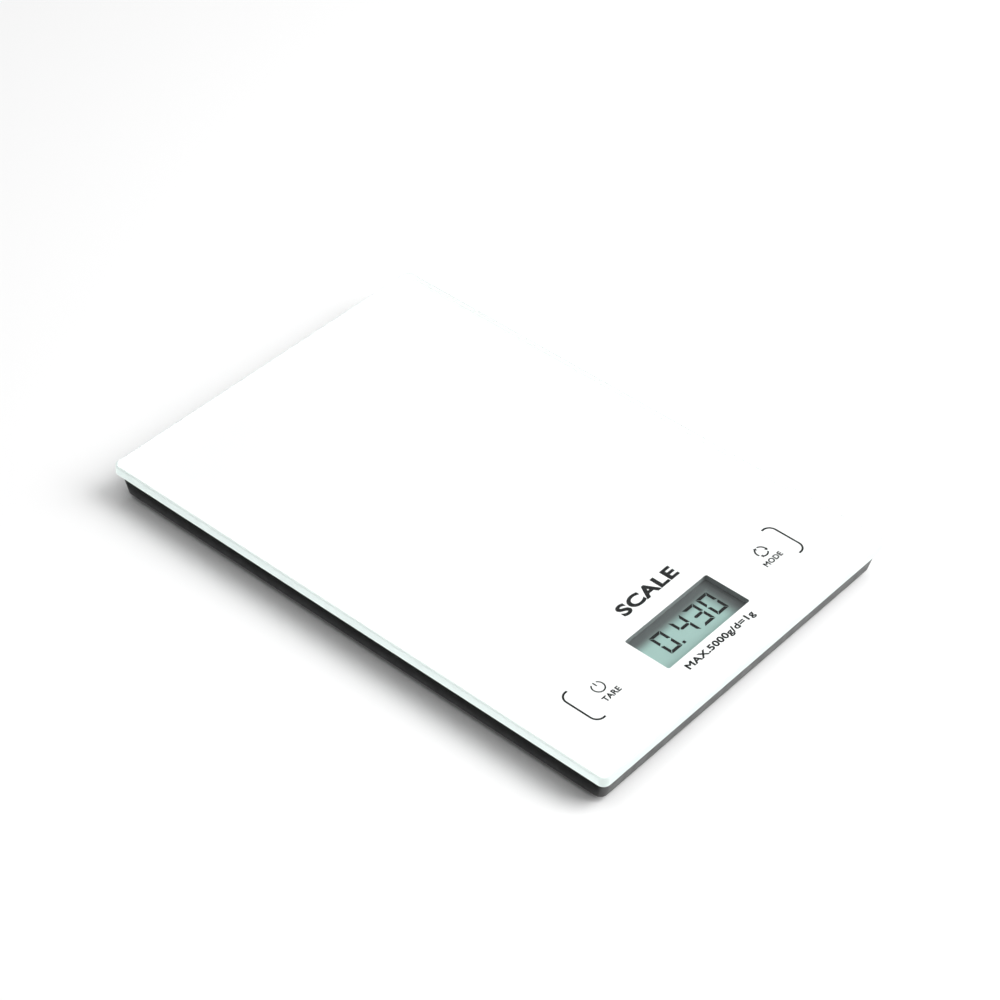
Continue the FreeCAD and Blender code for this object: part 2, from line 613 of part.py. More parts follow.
def positive_contact():
    """The leaf contact that presses on the rim of the coin cell."""
    half = CONTACT_HALF_WIDTH
    rim_y = BATTERY_Y - CELL_BATTERY_RADIUS
    spring = box(-half, half, rim_y - 0.3, rim_y, BATTERY_BOTTOM + 0.2, BATTERY_TOP - 0.5)
    leaf = box(-half, half, CONTACT_FRONT, rim_y - 0.3, *POSITIVE_LEAF)
    return spring.fuse(leaf).removeSplitter()


def battery_leads():
    """The two wires from the battery contacts to the circuit board."""
    wires = []
    for x, z in ((-0.8, POSITIVE_LEAF[1] + LEAD_RADIUS), (0.8, NEGATIVE_LEAF[0] - LEAD_RADIUS)):
        route = [V(x, CONTACT_FRONT + 0.8, z), V(x, PAD_ROW_Y, z), V(x, PAD_ROW_Y, BOARD_TOP)]
        wires.append(wire_along(route, LEAD_RADIUS, 0.5))
    return wires


def all_parts():
    """Yield the name and shape of every sub-part."""
    yield "glass_platform", glass_platform()
    yield "white_print", white_print()
    yield "adhesive_tape", adhesive_tape()
    yield "glass_carrier", glass_carrier()
    yield "bottom_cover", bottom_cover()
    yield "battery_door", battery_door()
    yield "door_latch", door_latch()
    yield "door_pad", door_pad()
    yield "lcd_bezel", lcd_bezel()
    yield "lcd_gasket", lcd_gasket()
    yield "lcd_front_glass", display_sheet(LCD_FRONT_SIZE, LCD_MIDDLE, LCD_TOP)
    yield "lcd_rear_glass", display_sheet(LCD_REAR_SIZE, LCD_BOTTOM, LCD_MIDDLE)
    yield "lcd_reflector", display_sheet(LCD_REAR_SIZE, LCD_BOTTOM - REFLECTOR_THICKNESS, LCD_BOTTOM)
    yield "zebra_strips", zebra_strips()
    yield "circuit_board", circuit_board()
    yield "controller_chip", chip(35.0, -87.0, 7.0, 1.2, 9)
    yield "converter_chip", chip(-35.0, -87.0, 5.0, 1.2, 7)
    yield "board_components", board_components()
    yield "touch_spring_left", touch_spring(-KEY_X)
    yield "touch_spring_right", touch_spring(KEY_X)
    yield "housing_screws", housing_screws()
    yield "board_screws", board_screws()
    yield "load_cell_screws", load_cell_screws()
    yield "coin_cell", coin_cell()
    yield "battery_contact_negative", negative_contact()
    yield "battery_contact_positive", positive_contact()
    yield "battery_leads", battery_leads()
    for place, x, y in foot_places():
        yield f"load_cell_{place}", load_cell(x, y)
        yield f"strain_gauge_{place}", strain_gauge(x, y)
        yield f"sensor_leads_{place}", sensor_leads(x, y)
        yield f"foot_cap_{place}", foot_cap(x, y)
        yield f"foot_pad_{place}", foot_pad(x, y)


def main():
    """Write one STEP file for each sub-part."""
    os.makedirs("parts", exist_ok=True)
    for name, shape in all_parts():
        solid = Part.makeCompound(shape) if isinstance(shape, list) else shape
        solid.exportStep(f"parts/{name}.step")
        print(f"{name}: {len(solid.Solids)} solid(s), valid {solid.isValid()}, {solid.Volume:.1f} mm3")


main()
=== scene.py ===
"""A slim kitchen scale with a white glass platform, dressed for a studio view.

The frame gives every size and place. Each class below makes one sub-assembly of the scale: it holds
its own sizes, builds its meshes in the frame's metres and dresses them in their finishes.
"""
from __future__ import annotations

import json
import logging
import math
from collections.abc import Iterable, Sequence
from dataclasses import dataclass
from enum import Enum

import bmesh
import bpy
from mathutils import Matrix, Vector

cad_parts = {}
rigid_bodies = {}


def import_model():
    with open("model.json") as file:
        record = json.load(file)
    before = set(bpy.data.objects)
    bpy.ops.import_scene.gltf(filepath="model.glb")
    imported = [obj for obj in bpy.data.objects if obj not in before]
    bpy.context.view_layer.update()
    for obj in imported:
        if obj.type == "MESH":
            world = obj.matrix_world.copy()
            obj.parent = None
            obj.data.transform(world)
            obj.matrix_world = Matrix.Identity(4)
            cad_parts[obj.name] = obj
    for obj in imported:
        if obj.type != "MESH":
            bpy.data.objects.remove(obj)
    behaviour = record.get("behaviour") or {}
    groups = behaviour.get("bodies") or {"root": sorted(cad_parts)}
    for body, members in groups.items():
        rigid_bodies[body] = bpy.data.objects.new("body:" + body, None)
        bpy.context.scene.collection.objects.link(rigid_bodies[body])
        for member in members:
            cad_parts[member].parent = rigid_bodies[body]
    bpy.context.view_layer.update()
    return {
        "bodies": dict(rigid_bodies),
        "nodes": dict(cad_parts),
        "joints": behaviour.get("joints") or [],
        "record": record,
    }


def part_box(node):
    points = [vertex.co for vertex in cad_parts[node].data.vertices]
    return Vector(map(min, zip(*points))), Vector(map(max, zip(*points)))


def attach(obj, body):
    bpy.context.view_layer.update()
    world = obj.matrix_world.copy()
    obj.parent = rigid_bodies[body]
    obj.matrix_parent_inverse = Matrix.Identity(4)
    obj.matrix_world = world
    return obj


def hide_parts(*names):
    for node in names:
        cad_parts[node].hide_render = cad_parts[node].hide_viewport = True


LOG = logging.getLogger("kitchen_scale")
MM = 0.001
SIDES = (-1, 1)
FOOT_PLACES = ("front_left", "front_right", "rear_left", "rear_right")
CORNER_STEPS = 14
ROUND_STEPS = 48
SHARP_ANGLE = math.radians(35)
FLAT_ANGLE = math.radians(1)
WELD_DISTANCE = 0.002 * MM
INK_THICKNESS = 0.02 * MM

Point = tuple[float, float, float]
Colour = tuple[float, float, float]
Span = tuple[float, float]


class Rider(Enum):
    """The moving bodies of the scale, by their names in the frame."""

    SCALE = "scale"
    DOOR = "door"


# Node trees ----------------------------------------------------------------------------------


class Tree:
    """A node tree while it is being wired."""

    prefix = ""

    def __init__(self, tree: bpy.types.NodeTree) -> None:
        """Take the tree to wire."""
        self.tree = tree

    def node(self, kind: str, **settings: object) -> bpy.types.Node:
        """Add a node and set its properties.

        Args:
            kind: the node's type, without this sort of tree's prefix.
            **settings: property values.

        Returns:
            The new node.
        """
        made = self.tree.nodes.new(self.prefix + kind)
        for key, value in settings.items():
            setattr(made, key, value)
        return made

    def link(self, source: object, target: bpy.types.NodeSocket) -> None:
        """Wire a socket to another, or set a constant on it."""
        if isinstance(source, bpy.types.NodeSocket):
            self.tree.links.new(source, target)
        else:
            target.default_value = source

    def math(self, operation: str, *values: object) -> bpy.types.NodeSocket:
        """The result of a Math node on sockets or numbers."""
        made = self.tree.nodes.new("ShaderNodeMath")
        made.operation = operation
        for value, target in zip(values, made.inputs):
            self.link(value, target)
        return made.outputs[0]


class Shader(Tree):
    """A material's node tree while it is being wired."""

    prefix = "ShaderNode"
    # Where the colour mix's own inputs and result stand among those of its other types
    colour_first, colour_second, colour_result = 6, 7, 2
    # The part of a noise pattern's range that holds nearly all of it
    noise_low, noise_high = 0.3, 0.7

    def __init__(self, name: str) -> None:
        """Start a material with nothing but a Principled BSDF and an output.

        Args:
            name: the material's name.
        """
        self.material = bpy.data.materials.new(name)
        self.material.use_nodes = True
        super().__init__(self.material.node_tree)
        self.tree.nodes.clear()
        self.output = self.node("OutputMaterial")
        self.surface = self.node("BsdfPrincipled")
        self.face = self.surface.outputs["BSDF"]
        self.link(self.face, self.output.inputs["Surface"])
        self._where: bpy.types.NodeSocket | None = None

    def where(self) -> bpy.types.NodeSocket:
        """The piece's own coordinates, in metres."""
        if self._where is None:
            self._where = self.node("TexCoord").outputs["Object"]
        return self._where

    def placed(self, centre: Point = (0, 0, 0), stretch: Point = (1, 1, 1)) -> bpy.types.NodeSocket:
        """The coordinates measured from centre and stretched.

        Args:
            centre: the point that becomes the pattern's origin.
            stretch: how many times finer the pattern is along each axis.

        Returns:
            A vector socket.
        """
        mapping = self.node("Mapping")
        mapping.inputs["Location"].default_value = [-c * s for c, s in zip(centre, stretch)]
        mapping.inputs["Scale"].default_value = stretch
        self.link(self.where(), mapping.inputs["Vector"])
        return mapping.outputs["Vector"]

    def pattern(self, kind: str, place: bpy.types.NodeSocket | None = None,
                numbers: dict[str, float] | None = None, **settings: object) -> bpy.types.Node:
        """A texture node.

        Args:
            kind: the texture's type.
            place: the coordinates, or None for the piece's own.
            numbers: its inputs.
            **settings: property values.

        Returns:
            The node.
        """
        made = self.node(f"Tex{kind}", **settings)
        for key, number in (numbers or {}).items():
            made.inputs[key].default_value = number
        self.link(place or self.where(), made.inputs["Vector"])
        return made

    def noise(self, scale: float, detail: float = 3.0, place: bpy.types.NodeSocket | None = None
              ) -> bpy.types.NodeSocket:
        """A noise pattern.

        Args:
            scale: bumps per metre.
            detail: how many finer layers it has.
            place: the coordinates, or None for the piece's own.

        Returns:
            A value socket from 0 to 1.
        """
        return self.pattern("Noise", place, {"Scale": scale, "Detail": detail}).outputs["Fac"]

    def remap(self, value: bpy.types.NodeSocket, source: Span, target: Span = (0.0, 1.0),
              **settings: object) -> bpy.types.NodeSocket:
        """Stretch a value from one range to another, and clamp it there.

        Args:
            value: the socket to read.
            source: the range that it is taken from.
            target: the range that it is brought to.
            **settings: the Map Range node's properties.

        Returns:
            A value socket.
        """
        made = self.node("MapRange", clamp=True, **settings)
        for key, number in zip(("From Min", "From Max", "To Min", "To Max"), (*source, *target)):
            made.inputs[key].default_value = number
        self.link(value, made.inputs["Value"])
        return made.outputs["Result"]

    def colour(self, factor: bpy.types.NodeSocket, first: Colour, second: Colour) -> bpy.types.NodeSocket:
        """Blend two colours and wire the result to the surface.

        Args:
            factor: 0 gives first and 1 gives second.
            first: linear red, green and blue.
            second: linear red, green and blue.

        Returns:
            The colour's socket.
        """
        made = self.node("Mix", data_type="RGBA")
        made.inputs[self.colour_first].default_value = (*first, 1.0)
        made.inputs[self.colour_second].default_value = (*second, 1.0)
        self.link(factor, made.inputs[0])
        blended = made.outputs[self.colour_result]
        self.link(blended, self.surface.inputs["Base Color"])
        return blended

    def rough(self, pattern: bpy.types.NodeSocket, target: Span, source: Span | None = None) -> None:
        """Wire the surface's roughness.

        Args:
            pattern: the pattern that it follows.
            target: the smoothest and the roughest value.
            source: the pattern's range, or None for a noise pattern's.
        """
        source = source or (self.noise_low, self.noise_high)
        self.link(self.remap(pattern, source, target), self.surface.inputs["Roughness"])

    def bump(self, height: bpy.types.NodeSocket, depth: float, strength: float = 1.0) -> None:
        """Raise the surface by a height pattern.

        Args:
            height: a value socket from 0 to 1.
            depth: the height in metres that 1 stands for.
            strength: how much of it shows.
        """
        made = self.node("Bump")
        made.inputs["Strength"].default_value = strength
        made.inputs["Distance"].default_value = depth
        self.link(height, made.inputs["Height"])
        self.link(made.outputs["Normal"], self.surface.inputs["Normal"])

    def veil(self, factor: object, over: bpy.types.NodeSocket | None = None) -> None:
        """Mix another shader over what there is.

        Args:
            factor: how much of it shows, as a number or a socket.
            over: the other shader, or None for plain transparency.
        """
        if over is None:
            over = self.node("BsdfTransparent").outputs["BSDF"]
        blend = self.node("MixShader")
        for source, target in zip((factor, self.face, over), blend.inputs):
            self.link(source, target)
        self.face = blend.outputs["Shader"]
        self.link(self.face, self.output.inputs["Surface"])

    def ray(self, kind: str) -> bpy.types.NodeSocket:
        """A socket that is 1 for rays of one kind, such as Shadow."""
        return self.node("LightPath").outputs[f"Is {kind} Ray"]

    def set(self, **values: object) -> None:
        """Set constant inputs of the surface, with spaces in their names written as underscores."""
        for key, value in values.items():
            self.surface.inputs[key.replace("_", " ")].default_value = value


# Finishes ------------------------------------------------------------------------------------


@dataclass(frozen=True)
class Finish:
    """What every finish has: a name, and two close colours that it drifts between."""

    name: str
    dark: Colour
    light: Colour

    def material(self) -> bpy.types.Material:
        """Make the material."""
        shader = Shader(self.name)
        self.wire(shader)
        return shader.material

    def wire(self, shader: Shader) -> None:
        """Wire the material, as each kind of finish does in its own way."""
        raise NotImplementedError


@dataclass(frozen=True)
class MouldedPlastic(Finish):
    """Moulded plastic with a fine spark-eroded grain and slight variation in gloss."""

    gloss: Span = (0.30, 0.42)
    shine: float = 0.5
    clouds: float = 60.0
    patches: float = 240.0
    grain: float = 2600.0
    grain_depth: float = 0.03 * MM
    grain_strength: float = 0.6

    def wire(self, shader: Shader) -> None:
        """Wire the material."""
        shader.colour(shader.noise(self.clouds), self.dark, self.light)
        shader.rough(shader.noise(self.patches), self.gloss)
        shader.bump(shader.noise(self.grain, 2.0), self.grain_depth, self.grain_strength)
        shader.set(IOR=1.5, Specular_IOR_Level=self.shine)


@dataclass(frozen=True)
class ClearGlass(Finish):
    """Clear float glass with a polished edge, which lets light through to what is under it."""

    drift: float = 35.0
    smudges: float = 90.0
    smudge_range: Span = (0.45, 0.75)
    smudge_gloss: Span = (0.0, 0.035)

    def wire(self, shader: Shader) -> None:
        """Wire the material: light that only passes through it isn't bent."""
        shader.set(Transmission_Weight=1.0, IOR=1.5)
        shader.colour(shader.noise(self.drift, 2.0), self.dark, self.light)
        shader.rough(shader.noise(self.smudges, 4.0), self.smudge_gloss, self.smudge_range)
        shader.veil(shader.math("MAXIMUM", shader.ray("Shadow"), shader.ray("Diffuse")))


@dataclass(frozen=True)
class GroundGlass(Finish):
    """The ground edge of a glass plate: frosted, with fine lines along the wheel's path."""

    drift: float = 50.0
    lines: float = 9000.0
    line_stretch: Point = (0.02, 0.02, 1.0)
    line_depth: float = 0.008 * MM
    line_strength: float = 0.4
    gloss: Span = (0.30, 0.45)
    glow: float = 0.55
    clearness: float = 0.8

    def wire(self, shader: Shader) -> None:
        """Wire the material: part of the light comes through from inside the plate."""
        lines = shader.noise(self.lines, 2.0, shader.placed(stretch=self.line_stretch))
        tone = shader.colour(shader.noise(self.drift), self.dark, self.light)
        shader.rough(lines, self.gloss)
        shader.bump(lines, self.line_depth, self.line_strength)
        through = shader.node("BsdfTranslucent")
        shader.link(tone, through.inputs["Color"])
        shader.veil(self.glow, through.outputs["BSDF"])
        shader.veil(shader.math("MULTIPLY", shader.ray("Shadow"), self.clearness))


@dataclass(frozen=True)
class FiredEnamel(Finish):
    """Opaque ceramic ink fired on glass: an even coat with a faint screen-print grain."""

    gloss: Span = (0.35, 0.5)
    shine: float = 0.5
    drift: float = 180.0
    patches: float = 1400.0
    grain: float = 3000.0
    grain_depth: float = 0.01 * MM
    grain_strength: float = 0.3

    def wire(self, shader: Shader) -> None:
        """Wire the material."""
        shader.set(Specular_IOR_Level=self.shine)
        shader.colour(shader.noise(self.drift, 4.0), self.dark, self.light)
        shader.rough(shader.noise(self.patches), self.gloss)
        shader.bump(shader.noise(self.grain, 2.0), self.grain_depth, self.grain_strength)


@dataclass(frozen=True)
class DisplayFilm(Finish):
    """The grey-green polarising film of the display, with painted shade near the frame's far walls."""

    far_corner: Point
    # How far the painted shade reaches from the far edges along X and Y, and how wide its darkest core is
    shade_width: Span = (10.8 * MM, 7.8 * MM)
    shade_core: Span = (2.6 * MM, 2.4 * MM)
    patches: float = 1800.0
    gloss: Span = (0.28, 0.40)
    grain: float = 5000.0
    grain_depth: float = 0.01 * MM
    grain_strength: float = 0.25

    def wire(self, shader: Shader) -> None:
        """Wire the material."""
        split = shader.node("SeparateXYZ")
        shader.link(shader.placed(self.far_corner), split.inputs[0])
        # Painted shade: the film is darkest along the far edges and fades to its pale colour towards the
        # middle
        painted_shade_fades = [shader.remap(split.outputs[axis], (-width, -core), interpolation_type="SMOOTHSTEP")
                 for axis, width, core in zip("XY", self.shade_width, self.shade_core)]
        shader.colour(shader.math("MAXIMUM", *painted_shade_fades), self.light, self.dark)
        shader.rough(shader.noise(self.patches), self.gloss)
        shader.bump(shader.noise(self.grain, 1.0), self.grain_depth, self.grain_strength)


@dataclass(frozen=True)
class BrushedMetal(Finish):
    """Metal with fine lines along one axis."""

    stretch: Point = (0.04, 1.0, 1.0)
    gloss: Span = (0.22, 0.42)
    lines: float = 5200.0
    line_depth: float = 0.01 * MM
    line_strength: float = 0.4

    def wire(self, shader: Shader) -> None:
        """Wire the material."""
        lines = shader.noise(self.lines, 3.0, shader.placed(stretch=self.stretch))
        shader.colour(lines, self.dark, self.light)
        shader.rough(lines, self.gloss)
        shader.bump(lines, self.line_depth, self.line_strength)
        shader.set(Metallic=1.0)


# The length of one wave of a wave pattern at scale 1, in metres
WAVE_STEP = 0.314


@dataclass(frozen=True)
class TurnedMetal(Finish):
    """Metal with fine rings round an upright axis, as a pressed can has."""

    centre: Point
    ring_pitch: float = 0.22 * MM
    ring_waver: float = 0.6
    ring_depth: float = 0.01 * MM
    ring_strength: float = 0.25
    gloss: Span = (0.20, 0.34)
    drift: float = 400.0

    def wire(self, shader: Shader) -> None:
        """Wire the material."""
        rings = shader.pattern("Wave", shader.placed(self.centre), {
            "Scale": WAVE_STEP / self.ring_pitch, "Distortion": self.ring_waver,
        }, wave_type="RINGS", rings_direction="Z", wave_profile="SIN").outputs["Fac"]
        shader.colour(shader.noise(self.drift), self.dark, self.light)
        shader.rough(rings, self.gloss, (0.0, 1.0))
        shader.bump(rings, self.ring_depth, self.ring_strength)
        shader.set(Metallic=1.0)


@dataclass(frozen=True)
class SoftRubber(Finish):
    """Rubber or foam: matte, with a cell pattern at the given scale."""

    cells: float = 2200.0
    cell_depth: float = 0.06 * MM
    cell_strength: float = 0.5
    gloss: Span = (0.7, 0.9)
    drift: float = 120.0
    patches: float = 500.0

    def wire(self, shader: Shader) -> None:
        """Wire the material."""
        cells = shader.pattern("Voronoi", None, {"Scale": self.cells}, feature="F1")
        shader.colour(shader.noise(self.drift), self.dark, self.light)
        shader.rough(shader.noise(self.patches), self.gloss)
        shader.bump(cells.outputs["Distance"], self.cell_depth, self.cell_strength)


@dataclass(frozen=True)
class StripedLayers(Finish):
    """Thin layers of two colours side by side along X, as in an elastomer connector or a foil gauge."""

    pitch: float
    metallic: float = 0.0
    blend: Span = (0.4, 0.6)
    patches: float = 900.0
    gloss: Span = (0.35, 0.50)

    def wire(self, shader: Shader) -> None:
        """Wire the material."""
        bands = shader.pattern("Wave", None, {"Scale": WAVE_STEP / self.pitch},
                               wave_type="BANDS", bands_direction="X", wave_profile="SIN")
        shader.colour(shader.remap(bands.outputs["Fac"], self.blend), self.dark, self.light)
        shader.rough(shader.noise(self.patches), self.gloss)
        shader.set(Metallic=self.metallic)


@dataclass(frozen=True)
class BoardLaminate(Finish):
    """Solder mask over copper tracks, which show lighter through it."""

    track_pitch: float = 2.8 * MM
    track_offset: float = 0.37
    track_width: float = 0.09
    track_soft: float = 0.2
    track_length: float = 2.4
    track_spacing: float = 0.35
    track_depth: float = 0.03 * MM
    track_strength: float = 0.5
    patches: float = 700.0
    gloss: Span = (0.25, 0.40)

    def wire(self, shader: Shader) -> None:
        """Wire the material."""
        tracks = shader.pattern("Brick", None, {
            "Scale": 1.0 / self.track_pitch, "Mortar Size": self.track_width,
            "Mortar Smooth": self.track_soft, "Brick Width": self.track_length,
            "Row Height": self.track_spacing,
        }, offset=self.track_offset, squash=1.0).outputs["Fac"]
        shader.colour(tracks, self.dark, self.light)
        shader.rough(shader.noise(self.patches), self.gloss)
        shader.bump(tracks, self.track_depth, self.track_strength)


HOUSING_BLACK = MouldedPlastic("housing_black", (0.011, 0.012, 0.0125), (0.018, 0.0195, 0.020))
FOOT_BLACK = MouldedPlastic("foot_black", (0.008, 0.008, 0.008), (0.014, 0.014, 0.014), (0.5, 0.65))
FRAME_GREY = MouldedPlastic("frame_grey", (0.185, 0.210, 0.210), (0.220, 0.248, 0.248), (0.6, 0.75))
CHIP_BLACK = MouldedPlastic("chip_black", (0.010, 0.010, 0.011), (0.018, 0.018, 0.019), (0.5, 0.65))
INSULATION = MouldedPlastic("red_insulation", (0.35, 0.012, 0.010), (0.45, 0.020, 0.016), (0.35, 0.5))
PLATE_EDGE = GroundGlass("plate_edge", (0.83, 0.885, 0.87), (0.87, 0.915, 0.90))
PLATE_GLASS = ClearGlass("plate_glass", (0.975, 0.990, 0.984), (0.98475, 0.9999, 0.99384))
CELL_GLASS = ClearGlass("cell_glass", (0.90, 0.95, 0.93), (0.909, 0.9595, 0.9393))
ENAMEL = FiredEnamel("white_enamel", (0.925, 0.935, 0.932), (0.945, 0.952, 0.950))
PRINT_INK = FiredEnamel("black_print", (0.002, 0.0025, 0.003), (0.006, 0.007, 0.008), (0.6, 0.75), 0.06)
SEGMENT_INK = FiredEnamel("display_segments", (0.002, 0.002, 0.0025), (0.004, 0.004, 0.0045),
                          (0.5, 0.6), 0.06)
REFLECTOR = FiredEnamel("display_backing", (0.30, 0.48, 0.44), (0.36, 0.54, 0.50))
GASKET_FOAM = SoftRubber("grey_foam", (0.200, 0.228, 0.228), (0.240, 0.270, 0.270), 1400.0, 0.05 * MM)
FOAM = SoftRubber("black_foam", (0.012, 0.012, 0.012), (0.022, 0.022, 0.022), 1400.0, 0.12 * MM)
PAD_RUBBER = SoftRubber("foot_rubber", (0.028, 0.028, 0.029), (0.045, 0.045, 0.046), 3200.0, 0.03 * MM)
SCREW_STEEL = BrushedMetal("black_screw", (0.10, 0.10, 0.105), (0.17, 0.17, 0.175))
SPRING_STEEL = BrushedMetal("spring_steel", (0.50, 0.50, 0.49), (0.62, 0.62, 0.60))
PLATE_STEEL = BrushedMetal("load_plate", (0.42, 0.42, 0.41), (0.56, 0.56, 0.55), (1.0, 0.04, 1.0))
ZEBRA = StripedLayers("layered_elastomer", (0.02, 0.02, 0.02), (0.55, 0.30, 0.36), 0.3 * MM)
GAUGE_FOIL = StripedLayers("gauge_foil", (0.55, 0.25, 0.05), (0.70, 0.45, 0.18), 0.4 * MM, 0.3)
BOARD = BoardLaminate("board_laminate", (0.008, 0.085, 0.030), (0.020, 0.160, 0.055))


# Mesh work ------------------------------------------------------------------------------------


def new_object(name: str, data: bpy.types.ID | None) -> bpy.types.Object:
    """Put new data into the scene as an object."""
    made = bpy.data.objects.new(name, data)
    bpy.context.scene.collection.objects.link(made)
    return made


def new_mesh(work: bmesh.types.BMesh, name: str) -> bpy.types.Object:
    """Put a finished mesh into the scene as an object."""
    data = bpy.data.meshes.new(name)
    work.to_mesh(data)
    work.free()
    return new_object(name, data)


def span(node: str) -> tuple[Vector, Vector]:
    """The lowest and the highest corner of a node's box."""
    low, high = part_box(node)
    return Vector(low), Vector(high)


def heading(azimuth: float, elevation: float) -> Vector:
    """The direction from the scale to something seen at two angles, in degrees from its front."""
    a, e = math.radians(azimuth), math.radians(elevation)
    return Vector((math.sin(a) * math.cos(e), -math.cos(a) * math.cos(e), math.sin(e)))


def corner_round(radius: float, bottom: float, size: float, steps: int) -> list[Span]:
    """A profile's round between its bottom and its outer wall, as (radius, height) pairs.

    Args:
        radius: the outer wall's radius.
        bottom: the height of the bottom.
        size: the round's radius.
        steps: how many edges it has.

    Returns:
        The pairs.
    """
    angles = [math.pi / 2 * step / steps for step in range(steps + 1)]
    return [(radius - size + size * math.sin(a), bottom + size - size * math.cos(a)) for a in angles]


def rounded_outline(half_width: float, half_length: float, radius: float, z: float,
                    centre: tuple[float, float] = (0.0, 0.0), steps: int = CORNER_STEPS) -> list[Vector]:
    """Points round a rectangle with rounded corners, anticlockwise from above.

    Args:
        half_width: half its size along X.
        half_length: half its size along Y.
        radius: the corner radius.
        z: its height.
        centre: its middle.
        steps: how many edges each corner arc has.

    Returns:
        The points, with steps + 1 at each corner.
    """
    points = []
    for quarter, (sx, sy) in enumerate(((1, 1), (-1, 1), (-1, -1), (1, -1))):
        for step in range(steps + 1):
            angle = (quarter + step / steps) * math.pi / 2
            points.append(Vector((
                centre[0] + sx * (half_width - radius) + radius * math.cos(angle),
                centre[1] + sy * (half_length - radius) + radius * math.sin(angle),
                z,
            )))
    return points


def circle(x: float, y: float, radius: float, z: float, steps: int = ROUND_STEPS) -> list[Vector]:
    """Points round an upright circle, anticlockwise from above."""
    return [Vector((x + radius * math.cos(2 * math.pi * i / steps),
                    y + radius * math.sin(2 * math.pi * i / steps), z)) for i in range(steps)]


def stroke(path: Sequence[Span], width: float) -> list[Span]:
    """The outline of a line drawn along a path.

    Args:
        path: points along the line's middle.
        width: the line's width.

    Returns:
        The outline's points.
    """
    left, right = [], []
    for index, point in enumerate(path):
        before = Vector(path[max(index - 1, 0)])
        after = Vector(path[min(index + 1, len(path) - 1)])
        along = (after - before).normalized()
        across = Vector((-along.y, along.x)) * width / 2
        here = Vector(point)
        left.append(tuple(here + across))
        right.append(tuple(here - across))
    return left + right[::-1]


def arc(centre: Span, radius: float, start: float, end: float, steps: int = 24) -> list[Span]:
    """Points along an arc, with its angles in degrees from +X."""
    angles = [math.radians(start + (end - start) * i / steps) for i in range(steps + 1)]
    return [(centre[0] + radius * math.cos(a), centre[1] + radius * math.sin(a)) for a in angles]


class Piece:
    """One closed mesh while it is being built."""

    def __init__(self, name: str) -> None:
        """Start an empty piece.

        Args:
            name: the finished object's name.
        """
        self.name = name
        self.mesh = bmesh.new()

    def rings(self, rings: Sequence[Sequence[Vector]], closed: bool = False) -> Piece:
        """Skin a row of rings that have the same number of points.

        Args:
            rings: the rings in order.
            closed: True joins the last ring to the first, and False caps both ends.

        Returns:
            The piece.
        """
        rows = [[self.mesh.verts.new(point) for point in ring] for ring in rings]
        pairs = list(zip(rows, rows[1:]))
        if closed:
            pairs.append((rows[-1], rows[0]))
        else:
            self.mesh.faces.new(rows[0])
            self.mesh.faces.new(rows[-1])
        for lower, upper in pairs:
            for index in range(len(lower)):
                after = (index + 1) % len(lower)
                self.mesh.faces.new((lower[index], lower[after], upper[after], upper[index]))
        return self

    def turned(self, x: float, y: float, profile: Sequence[tuple[float, float]],
               closed: bool = False) -> Piece:
        """Turn a profile round an upright axis.

        Args:
            x: the axis's place along X.
            y: the axis's place along Y.
            profile: (radius, height) pairs in order.
            closed: True for a ring-shaped piece whose profile closes on itself.

        Returns:
            The piece.
        """
        return self.rings([circle(x, y, radius, z) for radius, z in profile], closed)

    def block(self, low: Sequence[float], high: Sequence[float]) -> Piece:
        """Add an upright block between two corners."""
        corners = [(low[0], low[1]), (high[0], low[1]), (high[0], high[1]), (low[0], high[1])]
        return self.rings([[Vector((x, y, z)) for x, y in corners] for z in (low[2], high[2])])

    def prism(self, outline: Sequence[Sequence[float]], z0: float, z1: float) -> Piece:
        """Add an upright prism over a flat outline."""
        return self.rings([[Vector((p[0], p[1], z)) for p in outline] for z in (z0, z1)])

    def done(self, finish: Finish | None = None) -> bpy.types.Object:
        """Close the mesh work.

        Args:
            finish: what the piece is dressed in, or None for a cutter.

        Returns:
            The object, with its normals pointing outwards.
        """
        bmesh.ops.recalc_face_normals(self.mesh, faces=self.mesh.faces)
        made = new_mesh(self.mesh, self.name)
        if finish is not None:
            dress(made, finish)
            smooth(made)
        return made


def smooth(piece: bpy.types.Object) -> None:
    """Shade a piece smooth, apart from its real edges."""
    piece.data.shade_smooth()
    piece.data.set_sharp_from_angle(angle=SHARP_ANGLE)


_MATERIALS: dict[str, bpy.types.Material] = {}


def dress(piece: bpy.types.Object, finish: Finish) -> None:
    """Put a finish on every face of a piece.

    Args:
        piece: the object.
        finish: one of the finishes above.
    """
    if finish.name not in _MATERIALS:
        _MATERIALS[finish.name] = finish.material()
    piece.data.materials.clear()
    piece.data.materials.append(_MATERIALS[finish.name])
    for face in piece.data.polygons:
        face.material_index = 0


def bake_modifiers(piece: bpy.types.Object) -> None:
    """Turn a piece's modifiers into its plain mesh."""
    evaluated = piece.evaluated_get(bpy.context.evaluated_depsgraph_get())
    data = bpy.data.meshes.new_from_object(evaluated)
    data.name = piece.name
    piece.modifiers.clear()
    piece.data = data


def discard(pieces: Iterable[bpy.types.Object]) -> None:
    """Remove helper objects."""
    for piece in pieces:
        bpy.data.objects.remove(piece, do_unlink=True)


def cut(piece: bpy.types.Object, cutters: Sequence[bpy.types.Object]) -> None:
    """Cut shapes out of a piece and remove the cutters.

    Args:
        piece: the object to cut.
        cutters: closed meshes that don't overlap each other.
    """
    for cutter in cutters:
        modifier = piece.modifiers.new("cut", "BOOLEAN")
        modifier.operation = "DIFFERENCE"
        modifier.solver = "EXACT"
        modifier.object = cutter
    bake_modifiers(piece)
    discard(cutters)


